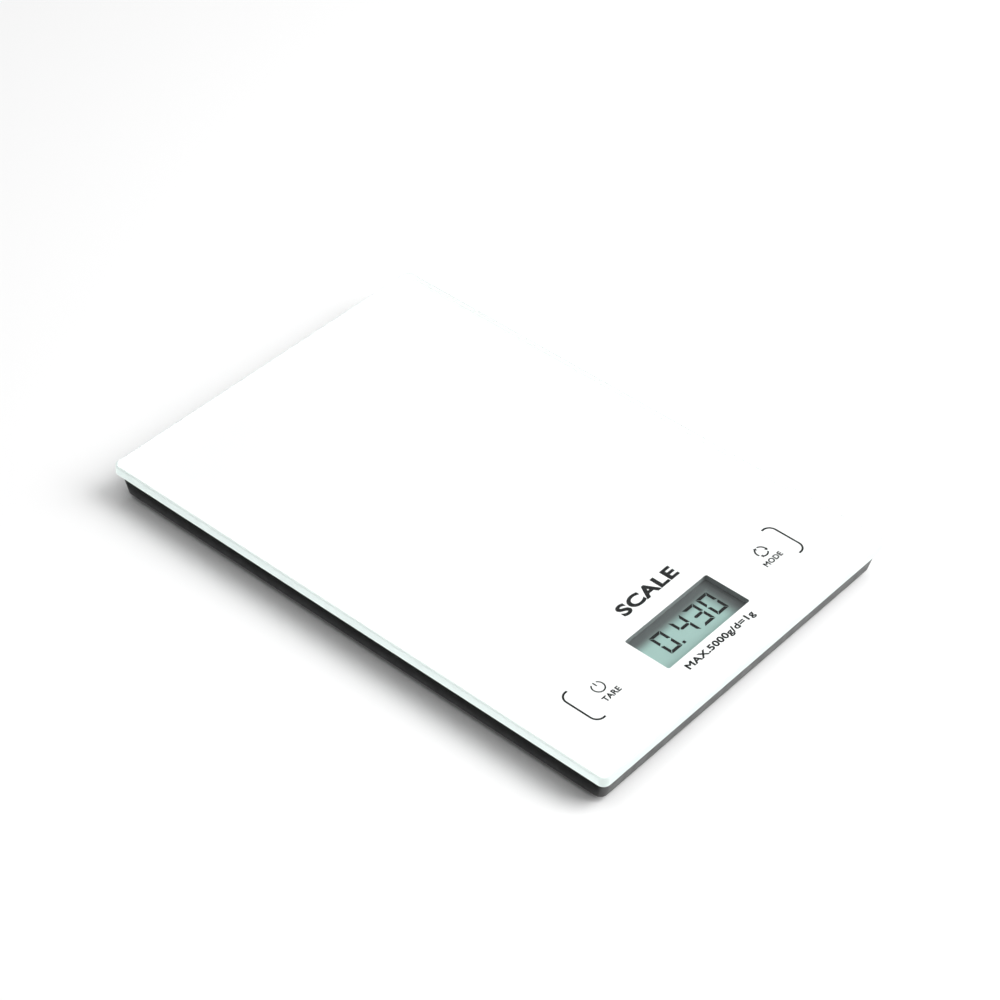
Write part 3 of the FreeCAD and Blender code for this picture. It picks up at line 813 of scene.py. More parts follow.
def soften(piece: bpy.types.Object, width: float, segments: int = 2) -> None:
    """Break a piece's sharp edges with small rounds.

    Args:
        piece: the object.
        width: how far each round reaches from its edge.
        segments: how many faces each round has.
    """
    modifier = piece.modifiers.new("soften", "BEVEL")
    modifier.width = width
    modifier.segments = segments
    modifier.limit_method = "ANGLE"
    modifier.angle_limit = SHARP_ANGLE
    modifier.use_clamp_overlap = True
    modifier.harden_normals = True
    weigh = piece.modifiers.new("weigh", "WEIGHTED_NORMAL")
    weigh.mode = "FACE_AREA"
    weigh.keep_sharp = True
    smooth(piece)
    bake_modifiers(piece)


def softened_copy(frame: dict, node: str, name: str, finish: Finish, width: float) -> bpy.types.Object:
    """Copy a node's shape as one welded mesh with rounded edges.

    Args:
        frame: the loaded frame.
        node: the node to copy.
        name: the new piece's name.
        finish: what it is dressed in.
        width: the size of its edge rounds.

    Returns:
        The new piece.
    """
    work = bmesh.new()
    work.from_mesh(frame["nodes"][node].data)
    bmesh.ops.remove_doubles(work, verts=work.verts, dist=WELD_DISTANCE)
    bmesh.ops.dissolve_limit(work, angle_limit=FLAT_ANGLE, verts=work.verts, edges=work.edges)
    made = new_mesh(work, name)
    dress(made, finish)
    soften(made, width)
    return made


def place(piece: bpy.types.Object, slot: str, *stands_for: str, body: str = Rider.SCALE.value) -> None:
    """Hand a finished piece to the frame.

    Args:
        piece: the object.
        slot: the material slot its finish belongs to; not used.
        *stands_for: the nodes it replaces.
        body: the body it rides on.
    """
    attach(piece, body)
    if stands_for:
        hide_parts(*stands_for)
    LOG.info("%s rides on %s: %d faces", piece.name, body, len(piece.data.polygons))


# Geometry node recipes ------------------------------------------------------------------------


class Recipe(Tree):
    """A geometry node tree with named inputs, which is run once on a host and baked."""

    prefix = "GeometryNode"

    def __init__(self, name: str, numbers: dict[str, float]) -> None:
        """Start a tree.

        Args:
            name: the tree's name.
            numbers: its named sizes, with their default values.
        """
        super().__init__(bpy.data.node_groups.new(name, "GeometryNodeTree"))
        face = self.tree.interface
        face.new_socket("Geometry", in_out="INPUT", socket_type="NodeSocketGeometry")
        face.new_socket("Geometry", in_out="OUTPUT", socket_type="NodeSocketGeometry")
        self.keys: dict[str, str] = {}
        for label, value in numbers.items():
            socket = face.new_socket(label, in_out="INPUT", socket_type="NodeSocketFloat")
            socket.default_value = value
            self.keys[label] = socket.identifier
        for label, kind in (("Stamp", "NodeSocketObject"), ("Finish", "NodeSocketMaterial")):
            self.keys[label] = face.new_socket(label, in_out="INPUT", socket_type=kind).identifier
        self.entry = self.tree.nodes.new("NodeGroupInput").outputs
        self.exit = self.tree.nodes.new("NodeGroupOutput").inputs

    def vector(self, **parts: object) -> bpy.types.NodeSocket:
        """Join sockets or numbers named x, y and z into a vector."""
        made = self.tree.nodes.new("ShaderNodeCombineXYZ")
        for axis, value in parts.items():
            self.link(value, made.inputs[axis.upper()])
        return made.outputs[0]

    def copies(self, shape: bpy.types.NodeSocket) -> bpy.types.Node:
        """Put copies of a shape on the host's points."""
        made = self.node("InstanceOnPoints")
        self.link(self.entry["Geometry"], made.inputs["Points"])
        self.link(shape, made.inputs["Instance"])
        return made

    def finish(self, geometry: bpy.types.NodeSocket) -> None:
        """End the tree: realize the copies, set the finish and hand the result out."""
        real = self.node("RealizeInstances")
        paint = self.node("SetMaterial")
        self.link(geometry, real.inputs["Geometry"])
        self.link(real.outputs["Geometry"], paint.inputs["Geometry"])
        self.link(self.entry["Finish"], paint.inputs["Material"])
        self.link(paint.outputs["Geometry"], self.exit[0])

    def bake(self, name: str, points: Sequence[Vector], finish: Finish, turns: Sequence[float] = (),
             stamp: bpy.types.Object | None = None, **numbers: float) -> bpy.types.Object:
        """Run the tree on loose points and keep the result as a plain mesh.

        Args:
            name: the finished object's name.
            points: where the tree starts from.
            finish: what the result is dressed in.
            turns: a turn about Z for each point, in radians.
            stamp: the shape to repeat, which is removed afterwards.
            **numbers: the tree's sizes, with spaces written as underscores.

        Returns:
            The finished object.
        """
        data = bpy.data.meshes.new(name)
        data.from_pydata([tuple(p) for p in points], [], [])
        turned = data.attributes.new("turn", "FLOAT", "POINT")
        for index, turn in enumerate(turns):
            turned.data[index].value = turn
        host = new_object(name, data)
        modifier = host.modifiers.new("recipe", "NODES")
        modifier.node_group = self.tree
        dress(host, finish)
        modifier[self.keys["Finish"]] = host.data.materials[0]
        if stamp is not None:
            modifier[self.keys["Stamp"]] = stamp
        for label, value in numbers.items():
            modifier[self.keys[label.replace("_", " ")]] = value
        bake_modifiers(host)
        smooth(host)
        if stamp is not None:
            discard([stamp])
        return host


def copies_recipe() -> Recipe:
    """A tree that puts a copy of the stamp on each point, turned by the point's own turn."""
    recipe = Recipe("copies_on_points", {"Size": 1.0})
    stamp = recipe.node("ObjectInfo")
    recipe.link(recipe.entry["Stamp"], stamp.inputs["Object"])
    turn = recipe.node("InputNamedAttribute", data_type="FLOAT")
    turn.inputs["Name"].default_value = "turn"
    copies = recipe.copies(stamp.outputs["Geometry"])
    recipe.link(recipe.vector(z=turn.outputs["Attribute"]), copies.inputs["Rotation"])
    size = recipe.entry["Size"]
    recipe.link(recipe.vector(x=size, y=size, z=size), copies.inputs["Scale"])
    recipe.finish(copies.outputs["Instances"])
    return recipe


def coil_recipe(turn_edges: int = 28, wire_edges: int = 10) -> Recipe:
    """A tree that winds a wire coil upwards from each point.

    Args:
        turn_edges: how many edges each turn has.
        wire_edges: how many edges the wire has round it.

    Returns:
        The tree.
    """
    recipe = Recipe("wire_coil", {"Radius": 2.6 * MM, "Height": 5.0 * MM, "Turns": 5.0, "Wire": 0.3 * MM})
    spiral = recipe.node("CurveSpiral")
    profile = recipe.node("CurvePrimitiveCircle")
    sweep = recipe.node("CurveToMesh")
    entry = recipe.entry
    for source, target in (
        (turn_edges, spiral.inputs["Resolution"]),
        (entry["Turns"], spiral.inputs["Rotations"]),
        (entry["Radius"], spiral.inputs["Start Radius"]),
        (entry["Radius"], spiral.inputs["End Radius"]),
        (entry["Height"], spiral.inputs["Height"]),
        (wire_edges, profile.inputs["Resolution"]),
        (entry["Wire"], profile.inputs["Radius"]),
        (True, sweep.inputs["Fill Caps"]),
        (spiral.outputs["Curve"], sweep.inputs["Curve"]),
        (profile.outputs["Curve"], sweep.inputs["Profile Curve"]),
    ):
        recipe.link(source, target)
    recipe.finish(recipe.copies(sweep.outputs["Mesh"]).outputs["Instances"])
    return recipe


# Sub-assemblies ------------------------------------------------------------------------------


@dataclass
class Platform:
    """The glass plate, its ground edge and the enamel under it."""

    corner: float = 3.0 * MM
    edge_round: float = 0.6 * MM
    edge_width: float = 0.75 * MM
    edge_gap: float = 0.01 * MM
    edge_steps: int = 6
    enamel_gap: float = 0.03 * MM
    print_drop: float = 0.02 * MM
    window_half: Span = (23.0 * MM, 9.7 * MM)
    window_corner: float = 0.8 * MM

    def __post_init__(self) -> None:
        """Read the plate's size from the frame."""
        self.low, self.high = span("glass_platform")
        self.ink_top = self.low.z - self.print_drop

    def build(self) -> None:
        """Make every piece of the platform."""
        self.plate()
        self.ground_edge()
        self.enamel()

    def outline(self, inset: float, z: float) -> list[Vector]:
        """The plate's outline, taken in by inset, at a height."""
        return rounded_outline(self.high.x - inset, self.high.y - inset, self.corner - inset, z)

    def plate(self) -> None:
        """The clear glass, inside its ground edge."""
        rings = [self.outline(self.edge_width + self.edge_gap, z) for z in (self.low.z, self.high.z)]
        place(Piece("platform_plate").rings(rings).done(PLATE_GLASS), "platform_glass", "glass_platform")

    def ground_edge(self) -> None:
        """The ground edge round the glass, with a small round above and below."""
        lower = []
        for step in range(self.edge_steps + 1):
            angle = math.pi / 2 * step / self.edge_steps
            lower.append((self.edge_round * (1 - math.sin(angle)), self.edge_round * (1 - math.cos(angle))))
        profile = [(inset, self.low.z + rise) for inset, rise in lower]
        profile += [(inset, self.high.z - rise) for inset, rise in reversed(lower)]
        profile += [(self.edge_width, self.high.z), (self.edge_width, self.low.z)]
        rings = [self.outline(inset, z) for inset, z in profile]
        place(Piece("platform_edge").rings(rings, closed=True).done(PLATE_EDGE), "platform_glass")

    def enamel(self) -> None:
        """The white coat under the glass, open over the display."""
        low, high = span("white_print")
        display_low, display_high = span("lcd_front_glass")
        middle = (display_low + display_high) / 2
        top = self.low.z - self.enamel_gap - INK_THICKNESS
        corner = self.corner - (self.high.x - high.x)
        coat = [rounded_outline(high.x, high.y, corner, z) for z in (low.z, top)]
        window = [rounded_outline(*self.window_half, self.window_corner, z, (middle.x, middle.y))
                  for z in (top, low.z)]
        piece = Piece("enamel_coat").rings(coat + window, closed=True).done(ENAMEL)
        place(piece, "white_enamel", "white_print")


@dataclass(frozen=True)
class Word:
    """A printed word.

    Its middle is measured from the platform's middle and from its front edge, and its weight is how
    much bolder its strokes are than the plain letters', as a share of their size.
    """

    name: str
    text: str
    centre: Span
    extent: Span
    weight: float


WORDS = (
    Word("word_tare", "TARE", (-45.45 * MM, 25.05 * MM), (8.5 * MM, 2.45 * MM), 0.034),
    Word("word_mode", "MODE", (45.7 * MM, 25.05 * MM), (9.6 * MM, 2.45 * MM), 0.034),
    Word("word_capacity", "MAX.5000g/d=1g", (0.30 * MM, 13.6 * MM), (37.3 * MM, 3.75 * MM), 0.036),
    Word("word_title", "SCALE", (2.05 * MM, 47.6 * MM), (30.6 * MM, 5.9 * MM), 0.040),
)


@dataclass
class Legends:
    """The black print on the platform: words, key marks and the marks on either side."""

    top: float
    front: float
    letter_spacing: float = 1.06
    letter_curve_steps: int = 4
    key_x: float = 46.0 * MM
    key_depth: float = 30.45 * MM
    key_line: float = 0.56 * MM
    key_ring: float = 2.42 * MM
    power_gap: Span = (122, 418)
    power_bar: Span = (0.25, 1.05)
    arrow_start: float = 80
    arrow_sweep: float = 84
    arrow_head: float = 26
    arrow_spread: float = 0.34
    arrow_line: float = 1.2
    bracket_x: float = 58.9 * MM
    bracket_reach: float = 4.1 * MM
    bracket_line: float = 0.78 * MM
    bracket_span: Span = (20.1 * MM, 36.9 * MM)
    bracket_corner: float = 3.2 * MM

    def build(self) -> None:
        """Make every printed mark."""
        for word in WORDS:
            self.word(word)
        self.power_mark()
        self.mode_mark()
        for side in SIDES:
            self.bracket(side)

    def mark(self, name: str, outlines: Sequence[Sequence[Span]]) -> None:
        """Print flat outlines as one piece."""
        piece = Piece(name)
        for outline in outlines:
            piece.prism(outline, self.top - INK_THICKNESS, self.top)
        place(piece.done(PRINT_INK), "white_enamel")

    def word(self, word: Word) -> None:
        """Print a word, stretched to its extent from its lowest to its highest point."""
        curve = bpy.data.curves.new(word.name, "FONT")
        curve.body = word.text
        curve.extrude = 0.5
        curve.resolution_u = self.letter_curve_steps
        curve.bevel_depth = word.weight
        curve.bevel_resolution = 0
        curve.space_character = self.letter_spacing
        letters = new_object(word.name + "_outline", curve)
        evaluated = letters.evaluated_get(bpy.context.evaluated_depsgraph_get())
        data = bpy.data.meshes.new_from_object(evaluated)
        discard([letters])
        low = Vector(min(v.co[i] for v in data.vertices) for i in range(3))
        high = Vector(max(v.co[i] for v in data.vertices) for i in range(3))
        size = high - low
        x, depth = word.centre
        stretch = (word.extent[0] / size.x, word.extent[1] / size.y, INK_THICKNESS / size.z, 1.0)
        data.transform(
            Matrix.Translation((x, self.front + depth, self.top - INK_THICKNESS / 2))
            @ Matrix.Diagonal(stretch)
            @ Matrix.Translation(-(low + high) / 2)
        )
        piece = new_object(word.name, data)
        dress(piece, PRINT_INK)
        place(piece, "white_enamel")

    def power_mark(self) -> None:
        """A ring open at its back, with a short bar in the opening."""
        x, y = -self.key_x, self.front + self.key_depth
        ring = arc((x, y), self.key_ring, *self.power_gap, steps=48)
        bar = [(x, y + self.key_ring * share) for share in self.power_bar]
        self.mark("mark_power", [stroke(path, self.key_line) for path in (ring, bar)])

    def mode_mark(self) -> None:
        """Three arcs that chase each other round a ring, each with an arrowhead."""
        centre = Vector((self.key_x, self.front + self.key_depth))
        outlines = []
        for index in range(3):
            start = self.arrow_start - 120 * index
            end = start - self.arrow_sweep
            outlines.append(stroke(arc(centre, self.key_ring, start, end), self.key_line * self.arrow_line))
            base, tip = (Vector((math.cos(a), math.sin(a))) * self.key_ring
                         for a in (math.radians(end), math.radians(end - self.arrow_head)))
            outlines.append([tuple(centre + base * (1 - self.arrow_spread)), tuple(centre + tip),
                             tuple(centre + base * (1 + self.arrow_spread))])
        self.mark("mark_mode", outlines)

    def bracket(self, side: int) -> None:
        """One of the two marks that frame the controls, at the left (-1) or the right (1)."""
        near, far = (self.front + value for value in self.bracket_span)
        tip = self.bracket_x - self.bracket_reach
        inner = self.bracket_x - self.bracket_corner
        path = [(tip, near)]
        path += arc((inner, near + self.bracket_corner), self.bracket_corner, -90, 0, 12)
        path += arc((inner, far - self.bracket_corner), self.bracket_corner, 0, 90, 12)
        path += [(tip, far)]
        outline = [(side * x, y) for x, y in stroke(path, self.bracket_line)]
        self.mark("mark_bracket_left" if side < 0 else "mark_bracket_right", [outline])


@dataclass
class Display:
    """The reading under the window, its film, its frame and the layers behind it."""

    frame: dict
    copies: Recipe
    reading: str = "0430"
    opening_half: Span = (23.3 * MM, 10.0 * MM)
    film_round: float = 0.12 * MM
    frame_round: float = 0.15 * MM
    digit_size: Span = (6.0 * MM, 10.4 * MM)
    digit_line: float = 1.25 * MM
    digit_gap: float = 0.14 * MM
    digit_left: tuple[float, ...] = (-14.15 * MM, -3.4 * MM, 4.4 * MM, 12.2 * MM)
    digit_foot: float = 23.4 * MM
    point_place: Span = (-6.7 * MM, 23.95 * MM)
    ink_thickness: float = 0.03 * MM

    # The segments that each digit lights, by their letters
    LIT = {"0": "abcdef", "3": "abcdg", "4": "bcfg"}

    def __post_init__(self) -> None:
        """Read the display's place from the frame."""
        self.low, self.high = span("lcd_front_glass")
        self.surface = self.high.z
        self.front = span("glass_platform")[0].y

    def build(self) -> None:
        """Make every piece of the display."""
        self.film()
        self.digits()
        piece = softened_copy(self.frame, "lcd_bezel", "display_frame", FRAME_GREY, self.frame_round)
        place(piece, "grey_bezel", "lcd_bezel")
        for node, finish in (("lcd_gasket", GASKET_FOAM), ("lcd_rear_glass", CELL_GLASS),
                             ("lcd_reflector", REFLECTOR), ("zebra_strips", ZEBRA)):
            dress(self.frame["nodes"][node], finish)

    def film(self) -> None:
        """The display's front, covered by its polarising film."""
        half_width, half_length = self.opening_half
        far_corner = (half_width, (self.low.y + self.high.y) / 2 + half_length, self.surface)
        # The first colour is painted shade at the frame's far walls; the second is the film's own pale
        # grey-green
        finish = DisplayFilm("display_film", (0.078, 0.090, 0.090), (0.315, 0.475, 0.440), far_corner)
        piece = Piece("display_front").block(self.low, self.high).done(finish)
        soften(piece, self.film_round)
        place(piece, "display_glass", "lcd_front_glass")

    def stamps(self) -> dict[str, bpy.types.Object]:
        """The four shapes of lit segment, each lying round its own middle."""
        line, gap = self.digit_line, self.digit_gap
        half = line / 2
        end = self.digit_size[0] / 2 - gap
        tall = (self.digit_size[1] - line) / 4
        side = [(half, -tall + gap), (half, tall + half - gap), (-half, tall - half - gap),
                (-half, -tall + half + gap)]
        outlines = {
            "end": [(-end, half), (-end + line, -half), (end - line, -half), (end, half)],
            "side": side,
            "mirrored": [(-x, y) for x, y in side],
            "middle": [(-end + half, 0), (-end + line, -half), (end - line, -half), (end - half, 0),
                       (end - line, half), (-end + line, half)],
        }
        return {name: Piece(f"stamp_{name}").prism(outline, 0.0, self.ink_thickness).done()
                for name, outline in outlines.items()}

    def segment_place(self, letter: str, left: float) -> tuple[str, Vector, float]:
        """Where a segment of a digit lies.

        Args:
            letter: the segment's usual letter, a to g.
            left: the digit's left edge.

        Returns:
            Its shape, its middle and its turn.
        """
        width, height = self.digit_size
        margin = self.digit_line / 2
        quarter = (height - self.digit_line) / 4
        foot = self.front + self.digit_foot + margin
        near, middle, far = left + margin, left + width / 2, left + width - margin
        shape, x, row, turn = {
            "a": ("end", middle, 4, 0.0),
            "b": ("side", far, 3, 0.0),
            "c": ("mirrored", far, 1, math.pi),
            "d": ("end", middle, 0, math.pi),
            "e": ("side", near, 1, math.pi),
            "f": ("mirrored", near, 3, 0.0),
            "g": ("middle", middle, 2, 0.0),
        }[letter]
        return shape, Vector((x, foot + row * quarter, self.surface)), turn

    def digits(self) -> None:
        """The lit segments of the reading, and its decimal point."""
        spots: dict[str, list[tuple[Vector, float]]] = {}
        for digit, left in zip(self.reading, self.digit_left):
            for letter in self.LIT[digit]:
                shape, point, turn = self.segment_place(letter, left)
                spots.setdefault(shape, []).append((point, turn))
        stamps = self.stamps()
        for shape, found in spots.items():
            points, turns = zip(*found)
            piece = self.copies.bake(f"display_segments_{shape}", points, SEGMENT_INK, turns, stamps[shape])
            place(piece, "display_glass")
        x, depth = self.point_place
        y, half = self.front + depth, self.digit_line / 2
        dot = Piece("display_point").block((x - half, y - half, self.surface),
                                           (x + half, y + half, self.surface + self.ink_thickness))
        place(dot.done(SEGMENT_INK), "display_glass")


@dataclass
class CrossScrew:
    """A self-tapping screw with a rounded cross head, standing on its head at the frame's axis."""

    bottom: float
    tip: float
    head_radius: float = 2.2 * MM
    head_height: float = 1.2 * MM
    head_edge: Span = (0.96, 0.08 * MM)
    shank_radius: float = 1.1 * MM
    crest: float = 0.14 * MM
    thread_pitch: float = 0.55 * MM
    thread_start: float = 0.15 * MM
    thread_end: float = 0.5 * MM
    point_length: float = 0.25 * MM
    point_shares: Span = (0.9, 0.35)
    slot_reach: float = 0.6
    slot_half: float = 0.14
    slot_depth: float = 0.62 * MM
    slot_taper: Span = (0.7, 0.8)
    slot_corners: Span = (0.1 * MM, 0.05 * MM)
    slot_overcut: float = 0.1 * MM

    # The head's dome: a share of its radius, and the height above its face
    DOME = ((0.55, 0.0), (0.84, 0.12 * MM), (0.97, 0.36 * MM), (1.0, 0.62 * MM))
    # One turn of the thread: whether it is on the crest, and how far along the pitch it is
    THREAD = ((False, 0.0), (True, 0.45), (False, 0.9))

    def build(self) -> bpy.types.Object:
        """Turn the screw and cut its cross."""
        head, root = self.head_radius, self.shank_radius - self.crest
        shoulder = self.bottom + self.head_height
        edge_share, edge_height = self.head_edge
        profile = [(share * head, self.bottom + height) for share, height in self.DOME]
        profile += [(head, shoulder - edge_height), (edge_share * head, shoulder), (root, shoulder)]
        for turn in range(int((self.tip - shoulder - self.thread_end) / self.thread_pitch)):
            start = shoulder + self.thread_start + turn * self.thread_pitch
            profile += [(self.shank_radius if crest else root, start + along * self.thread_pitch)
                        for crest, along in self.THREAD]
        profile += [(root * share, self.tip - length)
                    for share, length in zip(self.point_shares, (self.point_length, 0.0))]
        made = Piece("screw_stamp").turned(0.0, 0.0, profile).done()
        reach, half = self.slot_reach * head, self.slot_half * head
        cut(made, [self.slot("slot_a", reach, half), self.slot("slot_b", half, reach)])
        return made

    def slot(self, name: str, wide: float, deep: float) -> bpy.types.Object:
        """A cutter for one arm of the cross, narrower at its bottom, from its half sizes in plan."""
        outer, inner = self.slot_corners
        taper_x, taper_y = self.slot_taper
        return Piece(name).rings([
            rounded_outline(wide, deep, outer, self.bottom - self.slot_overcut, steps=2),
            rounded_outline(wide * taper_x, deep * taper_y, inner, self.bottom + self.slot_depth, steps=2),
        ]).done()


@dataclass
class Housing:
    """The black body under the glass: carrier, cover and the screws that hold them together."""

    frame: dict
    copies: Recipe
    carrier_round: float = 0.15 * MM
    cover_round: float = 0.25 * MM
    screw_rows: Point = (-55.0 * MM, 0.0, 55.0 * MM)
    first_turn: float = 0.35
    next_turn: float = 0.83

    def build(self) -> None:
        """Make every piece of the housing."""
        for node, name, width in (("glass_carrier", "carrier_shell", self.carrier_round),
                                  ("bottom_cover", "cover_shell", self.cover_round)):
            place(softened_copy(self.frame, node, name, HOUSING_BLACK, width), "black_housing", node)
        dress(self.frame["nodes"]["adhesive_tape"], FOAM)
        self.screws()

    def screws(self) -> None:
        """The eight cross-head screws, each turned a little differently."""
        low, high = span("housing_screws")
        screw = CrossScrew(low.z, high.z)
        far_x, far_y = high.x - screw.head_radius, high.y - screw.head_radius
        places = [(side * far_x, y) for side in SIDES for y in self.screw_rows]
        places += [(0.0, end * far_y) for end in SIDES]
        turns = [self.first_turn + self.next_turn * index for index in range(len(places))]
        piece = self.copies.bake("cover_screws", [Vector((x, y, 0.0)) for x, y in places], SCREW_STEEL,
                                 turns, screw.build())
        place(piece, "screw_steel", "housing_screws")


@dataclass
class Feet:
    """The four feet: a hard cap with a ribbed rubber pad in its sole."""

    cap_radius: float = 10.0 * MM
    cap_round: float = 0.45 * MM
    cap_break: float = 0.12 * MM
    pocket_radius: float = 8.5 * MM
    button_radius: float = 2.5 * MM
    button_break: float = 0.2 * MM
    shoulder: float = 4.45 * MM
    flange_top: float = 5.35 * MM
    pad_radius: float = 8.4 * MM
    pad_round: float = 0.3 * MM
    grooves: Span = (3.0 * MM, 5.6 * MM)
    groove_half: float = 0.4 * MM
    groove_depth: float = 0.5 * MM
    groove_lip: float = 0.1 * MM

    def build(self) -> None:
        """Make every foot."""
        for where in FOOT_PLACES:
            self.cap(where)
            self.pad(where)

    def cap(self, where: str) -> None:
        """The hard cap: a cup below, a flange inside the cover and a button against the load cell."""
        low, high = span(f"foot_cap_{where}")
        pad_top = span(f"foot_pad_{where}")[1].z
        middle = (low + high) / 2
        flange, small, button = high.x - middle.x, self.cap_break, self.button_radius
        profile = [
            (self.pocket_radius, pad_top),
            (self.pocket_radius, low.z + small),
            (self.pocket_radius + small, low.z),
            *corner_round(self.cap_radius, low.z, self.cap_round, 4),
            (self.cap_radius, self.shoulder),
            (flange - small, self.shoulder),
            (flange, self.shoulder + small),
            (flange, self.flange_top - small),
            (flange - small, self.flange_top),
            (button, self.flange_top),
            (button, high.z - self.button_break),
            (button - self.button_break, high.z),
        ]
        piece = Piece(f"foot_{where}_cap").turned(middle.x, middle.y, profile).done(FOOT_BLACK)
        place(piece, "black_foot", f"foot_cap_{where}", body=f"foot_{where}")

    def pad(self, where: str) -> None:
        """The rubber pad, with two ring grooves in its sole and a rounded rim."""
        low, high = span(f"foot_pad_{where}")
        middle = (low + high) / 2
        lip, groove_top = self.groove_lip, low.z + self.groove_depth
        profile = []
        for radius in self.grooves:
            near, far = radius - self.groove_half, radius + self.groove_half
            profile += [(near - lip, low.z), (near, low.z + lip), (near + lip, groove_top),
                        (far - lip, groove_top), (far, low.z + lip), (far + lip, low.z)]
        profile += corner_round(self.pad_radius, low.z, self.pad_round, 3)
        profile.append((self.pad_radius, high.z))
        piece = Piece(f"foot_{where}_pad").turned(middle.x, middle.y, profile).done(PAD_RUBBER)
        place(piece, "pad_rubber", f"foot_pad_{where}", body=f"foot_{where}")


@dataclass
class BatteryBay:
    """The door in the underside, its catch, the cell behind it and the contacts."""

    frame: dict
    foam_break: float = 0.15 * MM
    rim_round: float = 0.35 * MM
    rim_break: float = 0.3
    lid_inset: float = 1.15 * MM
    lid_step: float = 0.3 * MM
    lid_break: float = 0.1 * MM
    seal_width: float = 0.35 * MM
    seal_lip: float = 0.05 * MM
    seal_depth: float = 0.12 * MM

    # Each copied node, its piece's name, finish, edge rounds, body and slot
    COPIES = (
        ("battery_door", "bay_door", HOUSING_BLACK, 0.12 * MM, Rider.DOOR, "black_housing"),
        ("door_latch", "bay_catch", HOUSING_BLACK, 0.10 * MM, Rider.DOOR, "black_housing"),
        ("battery_contact_negative", "contact_spring", SPRING_STEEL, 0.03 * MM, Rider.SCALE, "spring_steel"),
        ("battery_contact_positive", "contact_leaf", SPRING_STEEL, 0.03 * MM, Rider.SCALE, "spring_steel"),
    )

    def build(self) -> None:
        """Make every piece of the bay."""
        for node, name, finish, width, body, slot in self.COPIES:
            piece = softened_copy(self.frame, node, name, finish, width)
            place(piece, slot, node, body=body.value)
        self.door_pad()
        self.cell()

    def door_pad(self) -> None:
        """The foam disc on the inside of the door."""
        low, high = span("door_pad")
        middle, radius = (low + high) / 2, (high.x - low.x) / 2
        edge = self.foam_break
        profile = [(radius, low.z), (radius, high.z - edge), (radius - edge, high.z)]
        piece = Piece("bay_foam").turned(middle.x, middle.y, profile).done(FOAM)
        place(piece, "foam_tape", "door_pad", body=Rider.DOOR.value)

    def cell(self) -> None:
        """The coin cell: a can with a rolled rim, a sealing ring and a lid that is a little smaller."""
        low, high = span("coin_cell")
        middle, radius = (low + high) / 2, (high.x - low.x) / 2
        edge, lid, rim = self.rim_round, radius - self.lid_inset, high.z - self.lid_step
        seal = lid + self.seal_width
        profile = [
            *corner_round(radius, low.z, edge, 5),
            (radius, rim - edge),
            (radius - self.rim_break * edge, rim - self.rim_break * edge),
            (radius - edge, rim),
            (seal, rim),
            (seal - self.seal_lip, rim - self.seal_depth),
            (lid, rim - self.seal_depth),
            (lid, high.z - self.lid_break),
            (lid - self.lid_break, high.z),
        ]
        finish = TurnedMetal("cell_can", (0.52, 0.52, 0.51), (0.64, 0.64, 0.63), tuple(middle))
        piece = Piece("cell_can").turned(middle.x, middle.y, profile).done(finish)
        place(piece, "cell_steel", "coin_cell")


@dataclass
class Works:
    """Everything else inside the housing."""

    frame: dict
    coil: Recipe
    spring_wire: float = 0.3 * MM
    spring_turns: float = 4.0
    spring_lift: float = 1.05
    spring_inset: float = 1.02
    wire_share: float = 0.98
    plate_round: float = 0.08 * MM

    # The finishes of the nodes that stay as the frame has them
    DRESSED = {
        "circuit_board": BOARD,
        "controller_chip": CHIP_BLACK,
        "converter_chip": CHIP_BLACK,
        "board_components": CHIP_BLACK,
        "board_screws": SCREW_STEEL,
        "load_cell_screws": SCREW_STEEL,
        "battery_leads": INSULATION,
    }

    def build(self) -> None:
        """Make the springs and the load cells, and dress the rest."""
        for side in ("left", "right"):
            self.touch_spring(side)
        nodes = self.frame["nodes"]
        for node, finish in self.DRESSED.items():
            dress(nodes[node], finish)
        for where in FOOT_PLACES:
            node = f"load_cell_{where}"
            plate = softened_copy(self.frame, node, f"cell_plate_{where}", PLATE_STEEL, self.plate_round)
            place(plate, "plate_steel", node)
            dress(nodes[f"strain_gauge_{where}"], GAUGE_FOIL)
            dress(nodes[f"sensor_leads_{where}"], INSULATION)

    def touch_spring(self, side: str) -> None:
        """The coil that couples the left or the right key's pad to the glass."""
        node = f"touch_spring_{side}"
        low, high = span(node)
        size, middle, wire = high - low, (low + high) / 2, self.spring_wire
        piece = self.coil.bake(
            f"key_spring_{side}", [Vector((middle.x, middle.y, low.z + wire * self.spring_lift))],
            SPRING_STEEL, Radius=size.y / 2 - wire * self.spring_inset,
            Height=size.z - 2 * wire * self.spring_lift, Turns=self.spring_turns,
            Wire=wire * self.wire_share)
        place(piece, "spring_steel", node)


# Studio --------------------------------------------------------------------------------------


@dataclass(frozen=True)
class SoftLamp:
    """A square studio lamp that looks at the scale."""

    name: str
    azimuth: float
    elevation: float
    distance: float
    size: float
    power: float
    matte_only: bool = False

    def build(self) -> None:
        """Hang the lamp."""
        data = bpy.data.lights.new(self.name, "AREA")
        data.shape = "SQUARE"
        data.size = self.size
        data.energy = self.power
        lamp = new_object(self.name, data)
        away = heading(self.azimuth, self.elevation)
        lamp.location = away * self.distance
        lamp.rotation_euler = away.to_track_quat("Z", "Y").to_euler()
        lamp.visible_camera = False
        lamp.visible_glossy = not self.matte_only


LAMPS = (
    SoftLamp("key_lamp", 35, 42, 1.5, 1.2, 25.0),
    SoftLamp("top_lamp", 0, 88, 1.6, 1.8, 14.0),
    SoftLamp("under_lamp", 0, -88, 1.2, 1.0, 22.0, matte_only=True),
)


